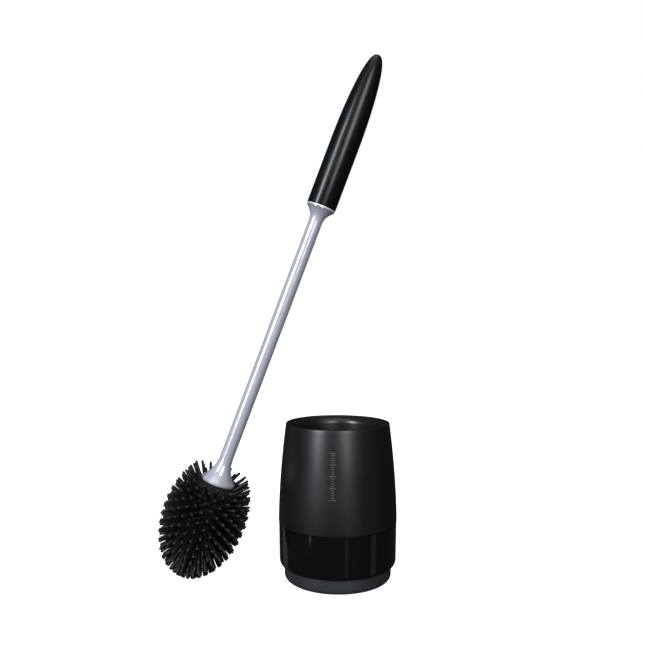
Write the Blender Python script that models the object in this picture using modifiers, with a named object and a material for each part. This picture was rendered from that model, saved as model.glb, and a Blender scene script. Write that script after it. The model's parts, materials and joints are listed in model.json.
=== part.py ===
"""Toilet brush set: a weighted holder with a lift-out cup, and a brush whose head unscrews.

Units are metres and +Z is up. The origin is on the floor, on the holder's axis. The brush stands on
its bristles beside the holder and leans towards +X, so its own frame hangs from the empty brush_frame.
"""

import math

import bmesh
import bpy
from mathutils import Matrix, Vector

# Clearance between pieces that touch or slip past each other.
GAP = 0.0003

# How far a drilling body reaches past the piece it cuts.
CUTTER_OVERRUN = 0.001

# Holder: barrel and gloss band.
HOLDER_HEIGHT = 0.1161
WIDEST_RADIUS = 0.0441
WIDEST_HEIGHT = 0.0435
RIM_INSET = 0.0054
TAPER_POWER = 1.75
SHELL_WALL = 0.0022
RIM_WALL = 0.0011
LEDGE_DEPTH = 0.0030
SEAM_HEIGHT = 0.0427
SPIGOT_DEPTH = 0.0080
BAND_STEP = 0.0002
BAND_DRAFT = 0.0006
BAND_ROUND = 0.0026
WEB_THICKNESS = 0.0022

# Holder: foot, weight, screws and pad.
FOOT_INSET = 0.0043
FOOT_HEIGHT = 0.0112
FOOT_ROUND = 0.0056
FOOT_WALL = 0.0024
FOOT_FLOOR = 0.0030
FOOT_LIFT = 0.0008
PAD_INSET = 0.0088
PAD_THICKNESS = 0.0015
WEIGHT_CLEARANCE = 0.0011
WEIGHT_THICKNESS = 0.0050
SCREW_COUNT = 3
SCREW_EDGE = 0.0004
SCREW_SHANK_RADIUS = 0.0014
SCREW_HEAD_RADIUS = 0.0028
SCREW_HEAD_HEIGHT = 0.0020
BOSS_WALL = 0.0018
BOSS_HEIGHT = 0.0030

# Holder: lift-out cup.
LIP_WIDTH = 0.0062
LIP_SLOPE = math.radians(30.0)
LIP_ROUND = 0.0024
CUP_WALL = 0.0018
CUP_DRAFT = 0.0012
CUP_FLOOR_ROUND = 0.0060
CUP_CLEARANCE = 0.0012

# Brush: heights are measured along its own axis from the lowest bristle tips.
BRUSH_LENGTH = 0.4140
BRUSH_LEAN = math.radians(20.70)
BRUSH_OFFSET_X = -0.0995
BRUSH_OFFSET_Y = -0.0017
HEAD_RADIUS = 0.0322
HEAD_HALF_HEIGHT = 0.0478
HEAD_TOP_LATITUDE = math.radians(47.0)
HEAD_TOP_DROP = 0.0206

# Brush: grip and its inner fittings.
GRIP_LENGTH = 0.1194
GRIP_RADIUS = 0.0111
GRIP_NOSE_LENGTH = 0.0712
GRIP_NOSE_POWER = 2.56
GRIP_WALL = 0.0023
SOCKET_LENGTH = 0.0280
SOCKET_WALL = 0.0017
SOCKET_WEB = 0.0030
SOCKET_WEB_DEPTH = 0.0140
TRIM_INSET = 0.0003
TRIM_THICKNESS = 0.0012
ROD_RADIUS = 0.0025
ROD_CLEARANCE = 0.0007
NUT_WALL = 0.0015
NUT_HEIGHT = 0.0040
WASHER_OVERHANG = 0.0005
WASHER_THICKNESS = 0.0010

# Brush: shaft with a trumpet at each end.
SHAFT_RADIUS = 0.00513
TRUMPET_POWER = 2.6
UPPER_FLARE_INSET = 0.0005
UPPER_FLARE_LENGTH = 0.0113
LOWER_FLARE_RADIUS = 0.0128
LOWER_FLARE_LENGTH = 0.0193
FLARE_RIM = 0.0018

# Brush: head.
SEAL_THICKNESS = 0.0010
CORE_RADIUS = 0.0120
SLEEVE_WALL = 0.0030
CORE_BOTTOM = 0.0200
CORE_ROUND = 0.0060
STUD_LENGTH = 0.0120
INSERT_WALL = 0.0020
BRISTLE_RADIUS = 0.00125
BRISTLE_TIP_TAPER = 0.72
BRISTLE_SPACING = 0.0052
BRISTLE_ROWS = 12
BRISTLE_FAN = 0.25
BRISTLE_SIDES = 4
BRISTLE_CUT_LATITUDE = math.radians(-80.0)

# Facets around each kind of turned piece.
FINE_STEPS = 40
MEDIUM_STEPS = 24
COARSE_STEPS = 14

# Brush stations and radii that follow from the sizes above.
GRIP_BOTTOM = BRUSH_LENGTH - GRIP_LENGTH
SHAFT_TOP = GRIP_BOTTOM - TRIM_THICKNESS - 2.0 * GAP
FLARE_BOTTOM = 2.0 * HEAD_HALF_HEIGHT - HEAD_TOP_DROP
HEAD_NECK = FLARE_BOTTOM - SEAL_THICKNESS - 2.0 * GAP
TRIM_RADIUS = GRIP_RADIUS - TRIM_INSET
UPPER_FLARE_RADIUS = GRIP_RADIUS - UPPER_FLARE_INSET
SOCKET_RADIUS = GRIP_RADIUS - GRIP_WALL - GAP
SHAFT_SPIGOT_RADIUS = SOCKET_RADIUS - SOCKET_WALL - GAP
SHAFT_BORE_RADIUS = ROD_RADIUS + ROD_CLEARANCE
NUT_CORNER_RADIUS = (ROD_RADIUS + NUT_WALL) / math.cos(math.radians(30.0))
WASHER_RADIUS = NUT_CORNER_RADIUS + WASHER_OVERHANG

# Holder stations and radii that follow from the sizes above.
RIM_RADIUS = WIDEST_RADIUS - RIM_INSET
BAND_TOP_RADIUS = WIDEST_RADIUS - BAND_STEP
BAND_BOTTOM_RADIUS = BAND_TOP_RADIUS - BAND_DRAFT
BAND_BOTTOM = FOOT_HEIGHT + GAP
BAND_INNER_RADIUS = BAND_BOTTOM_RADIUS - SHELL_WALL
FOOT_RADIUS = WIDEST_RADIUS - FOOT_INSET
PAD_RADIUS = FOOT_RADIUS - PAD_INSET
SCREW_CIRCLE = PAD_RADIUS - SCREW_HEAD_RADIUS - GAP - SCREW_EDGE
BAND_BOSS_RADIUS = SCREW_SHANK_RADIUS + GAP + BOSS_WALL
FOOT_BOSS_RADIUS = SCREW_HEAD_RADIUS + GAP + BOSS_WALL
WEIGHT_RADIUS = SCREW_CIRCLE - FOOT_BOSS_RADIUS - WEIGHT_CLEARANCE
SCREW_HEAD_BOTTOM = PAD_THICKNESS + 2.0 * GAP
MOUTH_RADIUS = RIM_RADIUS - GAP - LIP_WIDTH
CUP_OUTER_RADIUS = MOUTH_RADIUS + CUP_WALL
CUP_BOTTOM = BAND_BOTTOM + WEB_THICKNESS + BOSS_HEIGHT + CUP_CLEARANCE


def clear_scene():
    for item in list(bpy.data.objects):
        bpy.data.objects.remove(item, do_unlink=True)


def new_collection(name):
    collection = bpy.data.collections.new(name)
    bpy.context.scene.collection.children.link(collection)
    return collection


clear_scene()
parts = new_collection("toilet_brush_holder")
cutters = new_collection("cutters")


def make_material(name, color, roughness, metallic=0.0):
    material = bpy.data.materials.new(name)
    material.use_nodes = True
    shader = material.node_tree.nodes["Principled BSDF"]
    shader.inputs["Base Color"].default_value = (*color, 1.0)
    shader.inputs["Roughness"].default_value = roughness
    shader.inputs["Metallic"].default_value = metallic
    return material


matte_black = make_material("matte_black_plastic", (0.010, 0.010, 0.011), 0.50)
gloss_black = make_material("gloss_black_plastic", (0.004, 0.004, 0.005), 0.10)
graphite = make_material("graphite_plastic", (0.032, 0.035, 0.040), 0.42)
cup_black = make_material("cup_black_plastic", (0.012, 0.012, 0.013), 0.45)
silver = make_material("silver_lacquer", (0.45, 0.44, 0.50), 0.22, 0.6)
chrome = make_material("chromed_trim", (0.88, 0.88, 0.90), 0.12, 1.0)
steel = make_material("plated_steel", (0.55, 0.55, 0.56), 0.35, 1.0)
brass = make_material("brass_insert", (0.70, 0.52, 0.22), 0.35, 1.0)
iron = make_material("iron_weight", (0.16, 0.16, 0.17), 0.60, 1.0)
rubber = make_material("black_rubber", (0.011, 0.011, 0.012), 0.60)
pad_rubber = make_material("pad_rubber", (0.030, 0.030, 0.032), 0.80)
white_plastic = make_material("white_core_plastic", (0.55, 0.55, 0.54), 0.50)


def arc(center, radius, start, end, count):
    """Points of an arc in the (radius, height) plane, angles in degrees from outward."""
    points = []
    for index in range(count + 1):
        angle = math.radians(start + (end - start) * index / count)
        points.append((center[0] + radius * math.cos(angle), center[1] + radius * math.sin(angle)))
    return points


def finish_smooth(mesh, angle=32.0):
    mesh.shade_smooth()
    mesh.set_sharp_from_angle(angle=math.radians(angle))


def add_object(name, mesh, material, collection, parent=None):
    item = bpy.data.objects.new(name, mesh)
    item.data.materials.append(material)
    collection.objects.link(item)
    item.parent = parent
    return item


def turned(name, profile, material, steps, parent=None, collection=None):
    """A piece turned about Z: the profile runs down the outer side, then back up the inner side."""
    mesh = bpy.data.meshes.new(name)
    count = len(profile)
    vertices = [(radius, 0.0, height) for radius, height in profile]
    pairs = [(index, (index + 1) % count) for index in range(count)]
    edges = [pair for pair in pairs if max(profile[pair[0]][0], profile[pair[1]][0]) > 0.0]
    mesh.from_pydata(vertices, edges, [])
    item = add_object(name, mesh, material, collection or parts, parent)
    screw = item.modifiers.new("turn", "SCREW")
    screw.axis = "Z"
    screw.steps = steps
    screw.render_steps = steps
    screw.use_merge_vertices = True
    screw.merge_threshold = 0.00001
    screw.use_smooth_shade = True
    return item


def make_cutter(item):
    item.hide_render = True
    item.display_type = "WIRE"
    return item


def cylinder(name, radius, bottom, top, x, y, steps, material, collection=None, parent=None):
    form = bmesh.new()
    place = Matrix.Translation((x, y, 0.5 * (bottom + top)))
    bmesh.ops.create_cone(
        form,
        cap_ends=True,
        segments=steps,
        radius1=radius,
        radius2=radius,
        depth=top - bottom,
        matrix=place,
    )
    mesh = bpy.data.meshes.new(name)
    form.to_mesh(mesh)
    form.free()
    finish_smooth(mesh)
    return add_object(name, mesh, material, collection or parts, parent)


def cut(item, cutter, operation="DIFFERENCE"):
    boolean = item.modifiers.new(cutter.name, "BOOLEAN")
    boolean.operation = operation
    boolean.solver = "EXACT"
    boolean.object = make_cutter(cutter)


def screw_places():
    for index in range(SCREW_COUNT):
        angle = math.radians(90.0) + 2.0 * math.pi * index / SCREW_COUNT
        yield index + 1, SCREW_CIRCLE * math.cos(angle), SCREW_CIRCLE * math.sin(angle)


def barrel_radius(height):
    """Outer radius of the barrel: widest low down and drawn in towards the rim."""
    rise = max(0.0, height - WIDEST_HEIGHT) / (HOLDER_HEIGHT - WIDEST_HEIGHT)
    return WIDEST_RADIUS - (WIDEST_RADIUS - RIM_RADIUS) * rise ** TAPER_POWER


def build_outer_shell():
    bottom = SEAM_HEIGHT + GAP
    ledge = HOLDER_HEIGHT - LEDGE_DEPTH
    ledge_inner = RIM_RADIUS - SHELL_WALL - RIM_WALL
    profile = []
    count = 9
    for index in range(count + 1):
        height = HOLDER_HEIGHT + (bottom - HOLDER_HEIGHT) * index / count
        profile.append((barrel_radius(height), height))
    spigot_outer = BAND_INNER_RADIUS - GAP
    spigot_inner = spigot_outer - SHELL_WALL
    spigot_bottom = SEAM_HEIGHT - SPIGOT_DEPTH
    profile.append((spigot_outer, bottom))
    profile.append((spigot_outer, spigot_bottom))
    profile.append((spigot_inner, spigot_bottom))
    profile.append((spigot_inner, bottom + SHELL_WALL))
    inner_bottom = bottom + 3.0 * SHELL_WALL
    inner_top = ledge - 2.0 * SHELL_WALL
    inner_count = 4
    for index in range(inner_count + 1):
        height = inner_bottom + (inner_top - inner_bottom) * index / inner_count
        profile.append((barrel_radius(height) - SHELL_WALL, height))
    profile.append((ledge_inner, ledge - SHELL_WALL))
    profile.append((ledge_inner, ledge))
    profile.append((RIM_RADIUS - RIM_WALL, ledge))
    profile.append((RIM_RADIUS - RIM_WALL, HOLDER_HEIGHT))
    return turned("outer_shell", profile, matte_black, FINE_STEPS)


def build_inner_cup():
    lip_outer = RIM_RADIUS - RIM_WALL - GAP
    lip_top = HOLDER_HEIGHT - GAP
    seat = HOLDER_HEIGHT - LEDGE_DEPTH + GAP
    lip_drop = (lip_outer - MOUTH_RADIUS) * math.tan(LIP_SLOPE)
    roll_center = (MOUTH_RADIUS + LIP_ROUND, lip_top - lip_drop - LIP_ROUND)
    floor_top = CUP_BOTTOM + CUP_WALL
    base_radius = MOUTH_RADIUS - CUP_DRAFT
    profile = [(lip_outer, lip_top), (lip_outer, seat)]
    profile.append((CUP_OUTER_RADIUS, seat))
    outer_corner = (base_radius + CUP_WALL - CUP_FLOOR_ROUND, CUP_BOTTOM + CUP_FLOOR_ROUND)
    profile += arc(outer_corner, CUP_FLOOR_ROUND, 0.0, -90.0, 3)
    profile.append((0.0, CUP_BOTTOM))
    profile.append((0.0, floor_top))
    inner_round = CUP_FLOOR_ROUND - 0.5 * CUP_WALL
    inner_corner = (base_radius - inner_round, floor_top + inner_round)
    profile += arc(inner_corner, inner_round, -90.0, 0.0, 4)
    profile += arc(roll_center, LIP_ROUND, 180.0, 90.0 + math.degrees(LIP_SLOPE), 4)
    return turned("inner_cup", profile, cup_black, FINE_STEPS)


def build_gloss_band():
    center = (BAND_BOTTOM_RADIUS - BAND_ROUND, BAND_BOTTOM + BAND_ROUND)
    profile = [(BAND_TOP_RADIUS, SEAM_HEIGHT)]
    profile += arc(center, BAND_ROUND, 0.0, -90.0, 4)
    web_inner = SCREW_CIRCLE - BAND_BOSS_RADIUS - BOSS_WALL
    web_top = BAND_BOTTOM + WEB_THICKNESS
    profile.append((web_inner, BAND_BOTTOM))
    profile.append((web_inner, web_top))
    profile.append((center[0] - GAP, web_top))
    profile.append((BAND_INNER_RADIUS, BAND_BOTTOM + BAND_ROUND + GAP))
    profile.append((BAND_INNER_RADIUS, SEAM_HEIGHT))
    band = turned("gloss_band", profile, gloss_black, FINE_STEPS)
    for number, x, y in screw_places():
        boss = cylinder(
            f"band_boss_{number}",
            BAND_BOSS_RADIUS,
            BAND_BOTTOM + 0.5 * WEB_THICKNESS,
            web_top + BOSS_HEIGHT,
            x,
            y,
            COARSE_STEPS,
            gloss_black,
            cutters,
        )
        cut(band, boss, "UNION")
    for number, x, y in screw_places():
        pilot = cylinder(
            f"band_pilot_{number}",
            SCREW_SHANK_RADIUS + GAP,
            BAND_BOTTOM - CUTTER_OVERRUN,
            web_top + BOSS_HEIGHT + CUTTER_OVERRUN,
            x,
            y,
            COARSE_STEPS,
            gloss_black,
            cutters,
        )
        cut(band, pilot)
    return band


def build_base_foot():
    inner = FOOT_RADIUS - FOOT_WALL
    floor_top = FOOT_LIFT + FOOT_FLOOR
    recess_top = PAD_THICKNESS + GAP
    recess_radius = PAD_RADIUS + GAP
    corner = (FOOT_RADIUS - FOOT_ROUND, FOOT_LIFT + FOOT_ROUND)
    profile = [(FOOT_RADIUS, FOOT_HEIGHT)]
    profile += arc(corner, FOOT_ROUND, 0.0, -90.0, 5)
    profile.append((recess_radius, FOOT_LIFT))
    profile.append((recess_radius, recess_top))
    profile.append((0.0, recess_top))
    profile.append((0.0, floor_top))
    profile.append((inner - FOOT_FLOOR, floor_top))
    profile.append((inner, floor_top + FOOT_FLOOR))
    profile.append((inner, FOOT_HEIGHT))
    foot = turned("base_foot", profile, graphite, FINE_STEPS)
    for number, x, y in screw_places():
        boss = cylinder(
            f"foot_boss_{number}",
            FOOT_BOSS_RADIUS,
            FOOT_LIFT + 0.5 * FOOT_FLOOR + GAP,
            FOOT_HEIGHT,
            x,
            y,
            COARSE_STEPS,
            graphite,
            cutters,
        )
        cut(foot, boss, "UNION")
    for number, x, y in screw_places():
        counterbore = cylinder(
            f"foot_counterbore_{number}",
            SCREW_HEAD_RADIUS + GAP,
            -CUTTER_OVERRUN,
            SCREW_HEAD_BOTTOM + SCREW_HEAD_HEIGHT + GAP,
            x,
            y,
            COARSE_STEPS,
            graphite,
            cutters,
        )
        cut(foot, counterbore)
        hole = cylinder(
            f"foot_hole_{number}",
            SCREW_SHANK_RADIUS + GAP,
            SCREW_HEAD_BOTTOM,
            FOOT_HEIGHT + CUTTER_OVERRUN,
            x,
            y,
            COARSE_STEPS,
            graphite,
            cutters,
        )
        cut(foot, hole)
    return foot


def build_weight():
    bottom = FOOT_LIFT + FOOT_FLOOR + GAP
    top = bottom + WEIGHT_THICKNESS
    edge = 0.15 * WEIGHT_THICKNESS
    profile = [
        (0.0, top),
        (WEIGHT_RADIUS - edge, top),
        (WEIGHT_RADIUS, top - edge),
        (WEIGHT_RADIUS, bottom + edge),
        (WEIGHT_RADIUS - edge, bottom),
        (0.0, bottom),
    ]
    return turned("base_weight", profile, iron, MEDIUM_STEPS)


def build_screws():
    top = BAND_BOTTOM + WEB_THICKNESS + BOSS_HEIGHT - 3.0 * GAP
    head_top = SCREW_HEAD_BOTTOM + SCREW_HEAD_HEIGHT
    tip = 1.2 * SCREW_SHANK_RADIUS
    profile = [
        (0.0, top),
        (0.4 * SCREW_SHANK_RADIUS, top),
        (SCREW_SHANK_RADIUS, top - tip),
        (SCREW_SHANK_RADIUS, head_top),
        (SCREW_HEAD_RADIUS, head_top),
        (SCREW_HEAD_RADIUS, SCREW_HEAD_BOTTOM + 0.3 * SCREW_HEAD_HEIGHT),
        (0.8 * SCREW_HEAD_RADIUS, SCREW_HEAD_BOTTOM),
        (0.0, SCREW_HEAD_BOTTOM),
    ]
    for number, x, y in screw_places():
        screw = turned(f"base_screw_{number}", profile, steel, COARSE_STEPS)
        screw.location = (x, y, 0.0)


def build_pad():
    edge = 0.2 * PAD_THICKNESS
    profile = [
        (0.0, PAD_THICKNESS),
        (PAD_RADIUS, PAD_THICKNESS),
        (PAD_RADIUS, edge),
        (PAD_RADIUS - edge, 0.0),
        (0.0, 0.0),
    ]
    return turned("anti_slip_pad", profile, pad_rubber, FINE_STEPS)


def grip_radius(depth, wall=0.0):
    """Radius of the bullet-shaped grip at a depth below its tip, or of its bore for a wall."""
    nose = GRIP_NOSE_LENGTH - wall
    radius = GRIP_RADIUS - wall
    share = min(1.0, max(0.0, (depth - wall) / nose))
    return radius * (1.0 - (1.0 - share) ** 2) ** (1.0 / GRIP_NOSE_POWER)


def build_grip(frame):
    profile = [(0.0, BRUSH_LENGTH)]
    count = 9
    stations = [(index / count) ** 2.2 for index in range(1, count + 1)]
    for share in stations:
        depth = share * GRIP_NOSE_LENGTH
        profile.append((grip_radius(depth), BRUSH_LENGTH - depth))
    foot_edge = 0.25 * GRIP_WALL
    profile.append((GRIP_RADIUS, GRIP_BOTTOM + foot_edge))
    profile.append((GRIP_RADIUS - foot_edge, GRIP_BOTTOM))
    bore = GRIP_RADIUS - GRIP_WALL
    profile.append((bore, GRIP_BOTTOM))
    for share in reversed(stations[1:]):
        depth = GRIP_WALL + share * (GRIP_NOSE_LENGTH - GRIP_WALL)
        profile.append((grip_radius(depth, GRIP_WALL), BRUSH_LENGTH - depth))
    profile.append((0.0, BRUSH_LENGTH - GRIP_WALL))
    return turned("handle_grip", profile, gloss_black, MEDIUM_STEPS, frame)


def build_socket(frame):
    bottom = GRIP_BOTTOM + GAP
    top = bottom + SOCKET_LENGTH
    web_bottom = bottom + SOCKET_WEB_DEPTH
    web_top = web_bottom + SOCKET_WEB
    bore = SHAFT_SPIGOT_RADIUS + GAP
    pocket = WASHER_RADIUS + 2.0 * GAP
    profile = [
        (SOCKET_RADIUS, top),
        (SOCKET_RADIUS, bottom),
        (bore, bottom),
        (bore, web_bottom),
        (ROD_RADIUS + GAP, web_bottom),
        (ROD_RADIUS + GAP, web_top),
        (pocket, web_top),
        (pocket, top),
    ]
    return turned("handle_socket", profile, white_plastic, MEDIUM_STEPS, frame)


def build_rod_fixings(frame):
    washer_bottom = GRIP_BOTTOM + GAP + SOCKET_WEB_DEPTH + SOCKET_WEB + GAP
    washer_top = washer_bottom + WASHER_THICKNESS
    bore = ROD_RADIUS + GAP
    washer = [
        (WASHER_RADIUS, washer_top),
        (WASHER_RADIUS, washer_bottom),
        (bore, washer_bottom),
        (bore, washer_top),
    ]
    turned("rod_washer", washer, steel, COARSE_STEPS, frame)
    nut_bottom = washer_top + GAP
    nut_top = nut_bottom + NUT_HEIGHT
    nut = cylinder(
        "rod_nut",
        NUT_CORNER_RADIUS,
        nut_bottom,
        nut_top,
        0.0,
        0.0,
        6,
        steel,
        None,
        frame,
    )
    hole = cylinder(
        "nut_hole",
        bore,
        nut_bottom - CUTTER_OVERRUN,
        nut_top + CUTTER_OVERRUN,
        0.0,
        0.0,
        COARSE_STEPS,
        steel,
        cutters,
        frame,
    )
    cut(nut, hole)
    rod_top = nut_top + ROD_RADIUS
    rod_bottom = HEAD_NECK - STUD_LENGTH
    edge = 0.3 * ROD_RADIUS
    rod = [
        (0.0, rod_top),
        (ROD_RADIUS - edge, rod_top),
        (ROD_RADIUS, rod_top - edge),
        (ROD_RADIUS, rod_bottom + edge),
        (ROD_RADIUS - edge, rod_bottom),
        (0.0, rod_bottom),
    ]
    turned("core_rod", rod, steel, COARSE_STEPS, frame)


def build_trim_ring(frame):
    top = GRIP_BOTTOM - GAP
    bottom = top - TRIM_THICKNESS
    edge = 0.3 * TRIM_THICKNESS
    bore = SHAFT_SPIGOT_RADIUS + GAP
    profile = [
        (TRIM_RADIUS - edge, top),
        (TRIM_RADIUS, top - edge),
        (TRIM_RADIUS, bottom + edge),
        (TRIM_RADIUS - edge, bottom),
        (bore, bottom),
        (bore, top),
    ]
    return turned("trim_ring", profile, chrome, MEDIUM_STEPS, frame)


def trumpet(wide, narrow, start, length, count):
    """A flare from a wide end to the shaft: the radius falls as a power of the distance."""
    points = []
    for index in range(count + 1):
        share = index / count
        radius = narrow + (wide - narrow) * (1.0 - share) ** TRUMPET_POWER
        points.append((radius, start + length * share))
    return points


def build_shaft(frame):
    spigot_top = GRIP_BOTTOM + SOCKET_WEB_DEPTH - GAP
    top = SHAFT_TOP
    profile = [(SHAFT_SPIGOT_RADIUS, spigot_top), (SHAFT_SPIGOT_RADIUS, top)]
    edge = 0.2 * TRIM_THICKNESS
    profile.append((UPPER_FLARE_RADIUS - edge, top))
    upper = trumpet(UPPER_FLARE_RADIUS, SHAFT_RADIUS, top - edge, -UPPER_FLARE_LENGTH, 6)
    profile += upper
    flare_start = FLARE_BOTTOM + FLARE_RIM
    lower = trumpet(LOWER_FLARE_RADIUS, SHAFT_RADIUS, flare_start, LOWER_FLARE_LENGTH, 7)
    profile += list(reversed(lower))
    profile.append((LOWER_FLARE_RADIUS, FLARE_BOTTOM + 0.3 * FLARE_RIM))
    profile.append((LOWER_FLARE_RADIUS - 0.3 * FLARE_RIM, FLARE_BOTTOM))
    profile.append((SHAFT_BORE_RADIUS, FLARE_BOTTOM))
    profile.append((SHAFT_BORE_RADIUS, spigot_top))
    return turned("shaft", profile, silver, MEDIUM_STEPS, frame)


def build_seal(frame):
    top = FLARE_BOTTOM - GAP
    bottom = top - SEAL_THICKNESS
    outer = LOWER_FLARE_RADIUS - FLARE_RIM
    bore = ROD_RADIUS + GAP
    profile = [(outer, top), (outer, bottom), (bore, bottom), (bore, top)]
    return turned("flare_seal", profile, rubber, MEDIUM_STEPS, frame)


def build_insert(frame):
    outer = ROD_RADIUS + GAP + INSERT_WALL
    bore = ROD_RADIUS + GAP
    top = HEAD_NECK - GAP
    bottom = HEAD_NECK - STUD_LENGTH - GAP
    profile = [(outer, top), (outer, bottom), (bore, bottom), (bore, top)]
    return turned("threaded_insert", profile, brass, COARSE_STEPS, frame)


def build_core(frame):
    insert_radius = ROD_RADIUS + INSERT_WALL + 2.0 * GAP
    well_bottom = HEAD_NECK - STUD_LENGTH - 3.0 * GAP
    center = (CORE_RADIUS - CORE_ROUND, CORE_BOTTOM + CORE_ROUND)
    profile = [(CORE_RADIUS, HEAD_NECK)]
    profile += arc(center, CORE_ROUND, 0.0, -90.0, 3)
    profile.append((0.0, CORE_BOTTOM))
    profile.append((0.0, well_bottom))
    profile.append((insert_radius, well_bottom))
    profile.append((insert_radius, HEAD_NECK))
    return turned("head_core", profile, white_plastic, MEDIUM_STEPS, frame)


def core_distance(point):
    """How far a point lies outside the head core, whose lower corner is rounded."""
    across = max(0.0, math.hypot(point.x, point.y) - (CORE_RADIUS - CORE_ROUND))
    below = max(0.0, CORE_BOTTOM + CORE_ROUND - point.z)
    return math.hypot(across, below) - CORE_ROUND


def bristle_root(tip, origin):
    """Where the line from a tip to its fan point reaches the middle of the sleeve's wall."""
    near = 0.0
    far = 1.0
    for _ in range(24):
        middle = 0.5 * (near + far)
        if core_distance(origin.lerp(tip, middle)) > 0.5 * SLEEVE_WALL:
            far = middle
        else:
            near = middle
    return origin.lerp(tip, near)


def bristle_rings():
    """Latitudes of the rings of tips, spaced evenly along the egg-shaped envelope."""
    latitude = BRISTLE_CUT_LATITUDE
    rings = []
    while latitude <= HEAD_TOP_LATITUDE:
        rings.append(latitude)
        run = math.hypot(HEAD_RADIUS * math.sin(latitude), HEAD_HALF_HEIGHT * math.cos(latitude))
        latitude += BRISTLE_SPACING / run
    return rings


def bristle_count(latitude):
    """As many bristles as the ring has room for, up to the full number of rows."""
    room = 2.0 * math.pi * HEAD_RADIUS * math.cos(latitude) / BRISTLE_SPACING
    return max(3, min(BRISTLE_ROWS, int(room)))


def add_bristle(form, tip, root):
    """One tapered bristle, from a root inside the sleeve to its tip."""
    direction = (tip - root).normalized()
    length = (tip - root).length
    turn = Vector((0.0, 0.0, 1.0)).rotation_difference(direction).to_matrix().to_4x4()
    place = Matrix.Translation(root + direction * 0.5 * length) @ turn
    bmesh.ops.create_cone(
        form,
        cap_ends=True,
        segments=BRISTLE_SIDES,
        radius1=BRISTLE_RADIUS,
        radius2=BRISTLE_RADIUS * BRISTLE_TIP_TAPER,
        depth=length,
        matrix=place,
    )


def build_bristles(frame):
    form = bmesh.new()
    for number, latitude in enumerate(bristle_rings()):
        count = bristle_count(latitude)
        height = HEAD_HALF_HEIGHT * (1.0 + math.sin(latitude))
        radius = HEAD_RADIUS * math.cos(latitude)
        fan_height = HEAD_HALF_HEIGHT * (1.0 + BRISTLE_FAN * math.sin(latitude))
        origin = Vector((0.0, 0.0, fan_height))
        for index in range(count):
            angle = 2.0 * math.pi * (index + 0.5 * (number % 2)) / count
            tip = Vector((radius * math.cos(angle), radius * math.sin(angle), height))
            add_bristle(form, tip, bristle_root(tip, origin))
    mesh = bpy.data.meshes.new("bristles")
    form.to_mesh(mesh)
    form.free()
    bristles = add_object("bristles", mesh, rubber, cutters, frame)

    center = (CORE_RADIUS - CORE_ROUND, CORE_BOTTOM + CORE_ROUND)
    profile = [(CORE_RADIUS + SLEEVE_WALL, HEAD_NECK)]
    profile += arc(center, CORE_ROUND + SLEEVE_WALL, 0.0, -90.0, 4)
    profile.append((0.0, CORE_BOTTOM - SLEEVE_WALL))
    profile.append((0.0, CORE_BOTTOM - GAP))
    profile += arc(center, CORE_ROUND + GAP, -90.0, 0.0, 3)
    profile.append((CORE_RADIUS + GAP, HEAD_NECK))
    sleeve = turned("bristle_sleeve", profile, rubber, MEDIUM_STEPS, frame)
    cut(sleeve, bristles, "UNION")
    return sleeve


def place_brush(frame):
    """Lean the brush and stand its lowest bristle tip on the floor."""
    lean = Matrix.Rotation(BRUSH_LEAN, 4, "Y")
    bristles = bpy.data.objects["bristles"]
    lowest = min((lean @ vertex.co).z for vertex in bristles.data.vertices)
    middle = lean @ Vector((0.0, 0.0, HEAD_HALF_HEIGHT))
    frame.rotation_euler = (0.0, BRUSH_LEAN, 0.0)
    frame.location = (BRUSH_OFFSET_X - middle.x, BRUSH_OFFSET_Y, -lowest)


build_outer_shell()
build_inner_cup()
build_gloss_band()
build_base_foot()
build_weight()
build_screws()
build_pad()

brush_frame = bpy.data.objects.new("brush_frame", None)
parts.objects.link(brush_frame)
build_grip(brush_frame)
build_socket(brush_frame)
build_rod_fixings(brush_frame)
build_trim_ring(brush_frame)
build_shaft(brush_frame)
build_seal(brush_frame)
build_insert(brush_frame)
build_core(brush_frame)
build_bristles(brush_frame)
place_brush(brush_frame)
bpy.context.view_layer.update()
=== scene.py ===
import json
import math
from functools import partial

import bmesh
import bpy
import numpy as np
from mathutils import Matrix, Vector


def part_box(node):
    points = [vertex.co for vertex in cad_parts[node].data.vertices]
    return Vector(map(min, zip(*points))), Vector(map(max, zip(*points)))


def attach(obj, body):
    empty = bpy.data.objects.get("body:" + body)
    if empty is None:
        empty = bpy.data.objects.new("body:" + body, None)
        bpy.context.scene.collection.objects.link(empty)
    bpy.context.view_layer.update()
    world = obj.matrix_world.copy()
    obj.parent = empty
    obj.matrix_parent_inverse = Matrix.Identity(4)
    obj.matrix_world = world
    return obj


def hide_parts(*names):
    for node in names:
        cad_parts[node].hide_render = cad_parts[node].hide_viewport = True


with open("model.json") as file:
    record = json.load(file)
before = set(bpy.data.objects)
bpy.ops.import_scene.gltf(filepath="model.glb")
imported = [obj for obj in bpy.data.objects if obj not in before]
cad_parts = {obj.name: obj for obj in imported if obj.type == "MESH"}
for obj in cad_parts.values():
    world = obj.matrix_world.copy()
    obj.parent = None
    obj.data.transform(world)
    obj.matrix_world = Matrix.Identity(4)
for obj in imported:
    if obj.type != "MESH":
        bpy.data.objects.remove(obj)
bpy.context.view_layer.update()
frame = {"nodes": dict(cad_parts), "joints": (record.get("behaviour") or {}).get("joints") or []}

print("frame loaded:", len(frame["nodes"]), "nodes")


turnJoint = next(joint for joint in frame["joints"] if joint["name"] == "handle_turn")
brushMiddle = Vector(turnJoint["pos_m"])
brushAxis = Vector(turnJoint["axis"]).normalized()


def axialSpan(node):
    # lowest and highest station of a node along the brush, measured from the head's middle
    points = [vertex.co - brushMiddle for vertex in frame["nodes"][node].data.vertices]
    stations = [point.dot(brushAxis) for point in points]
    return min(stations), max(stations)


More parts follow.
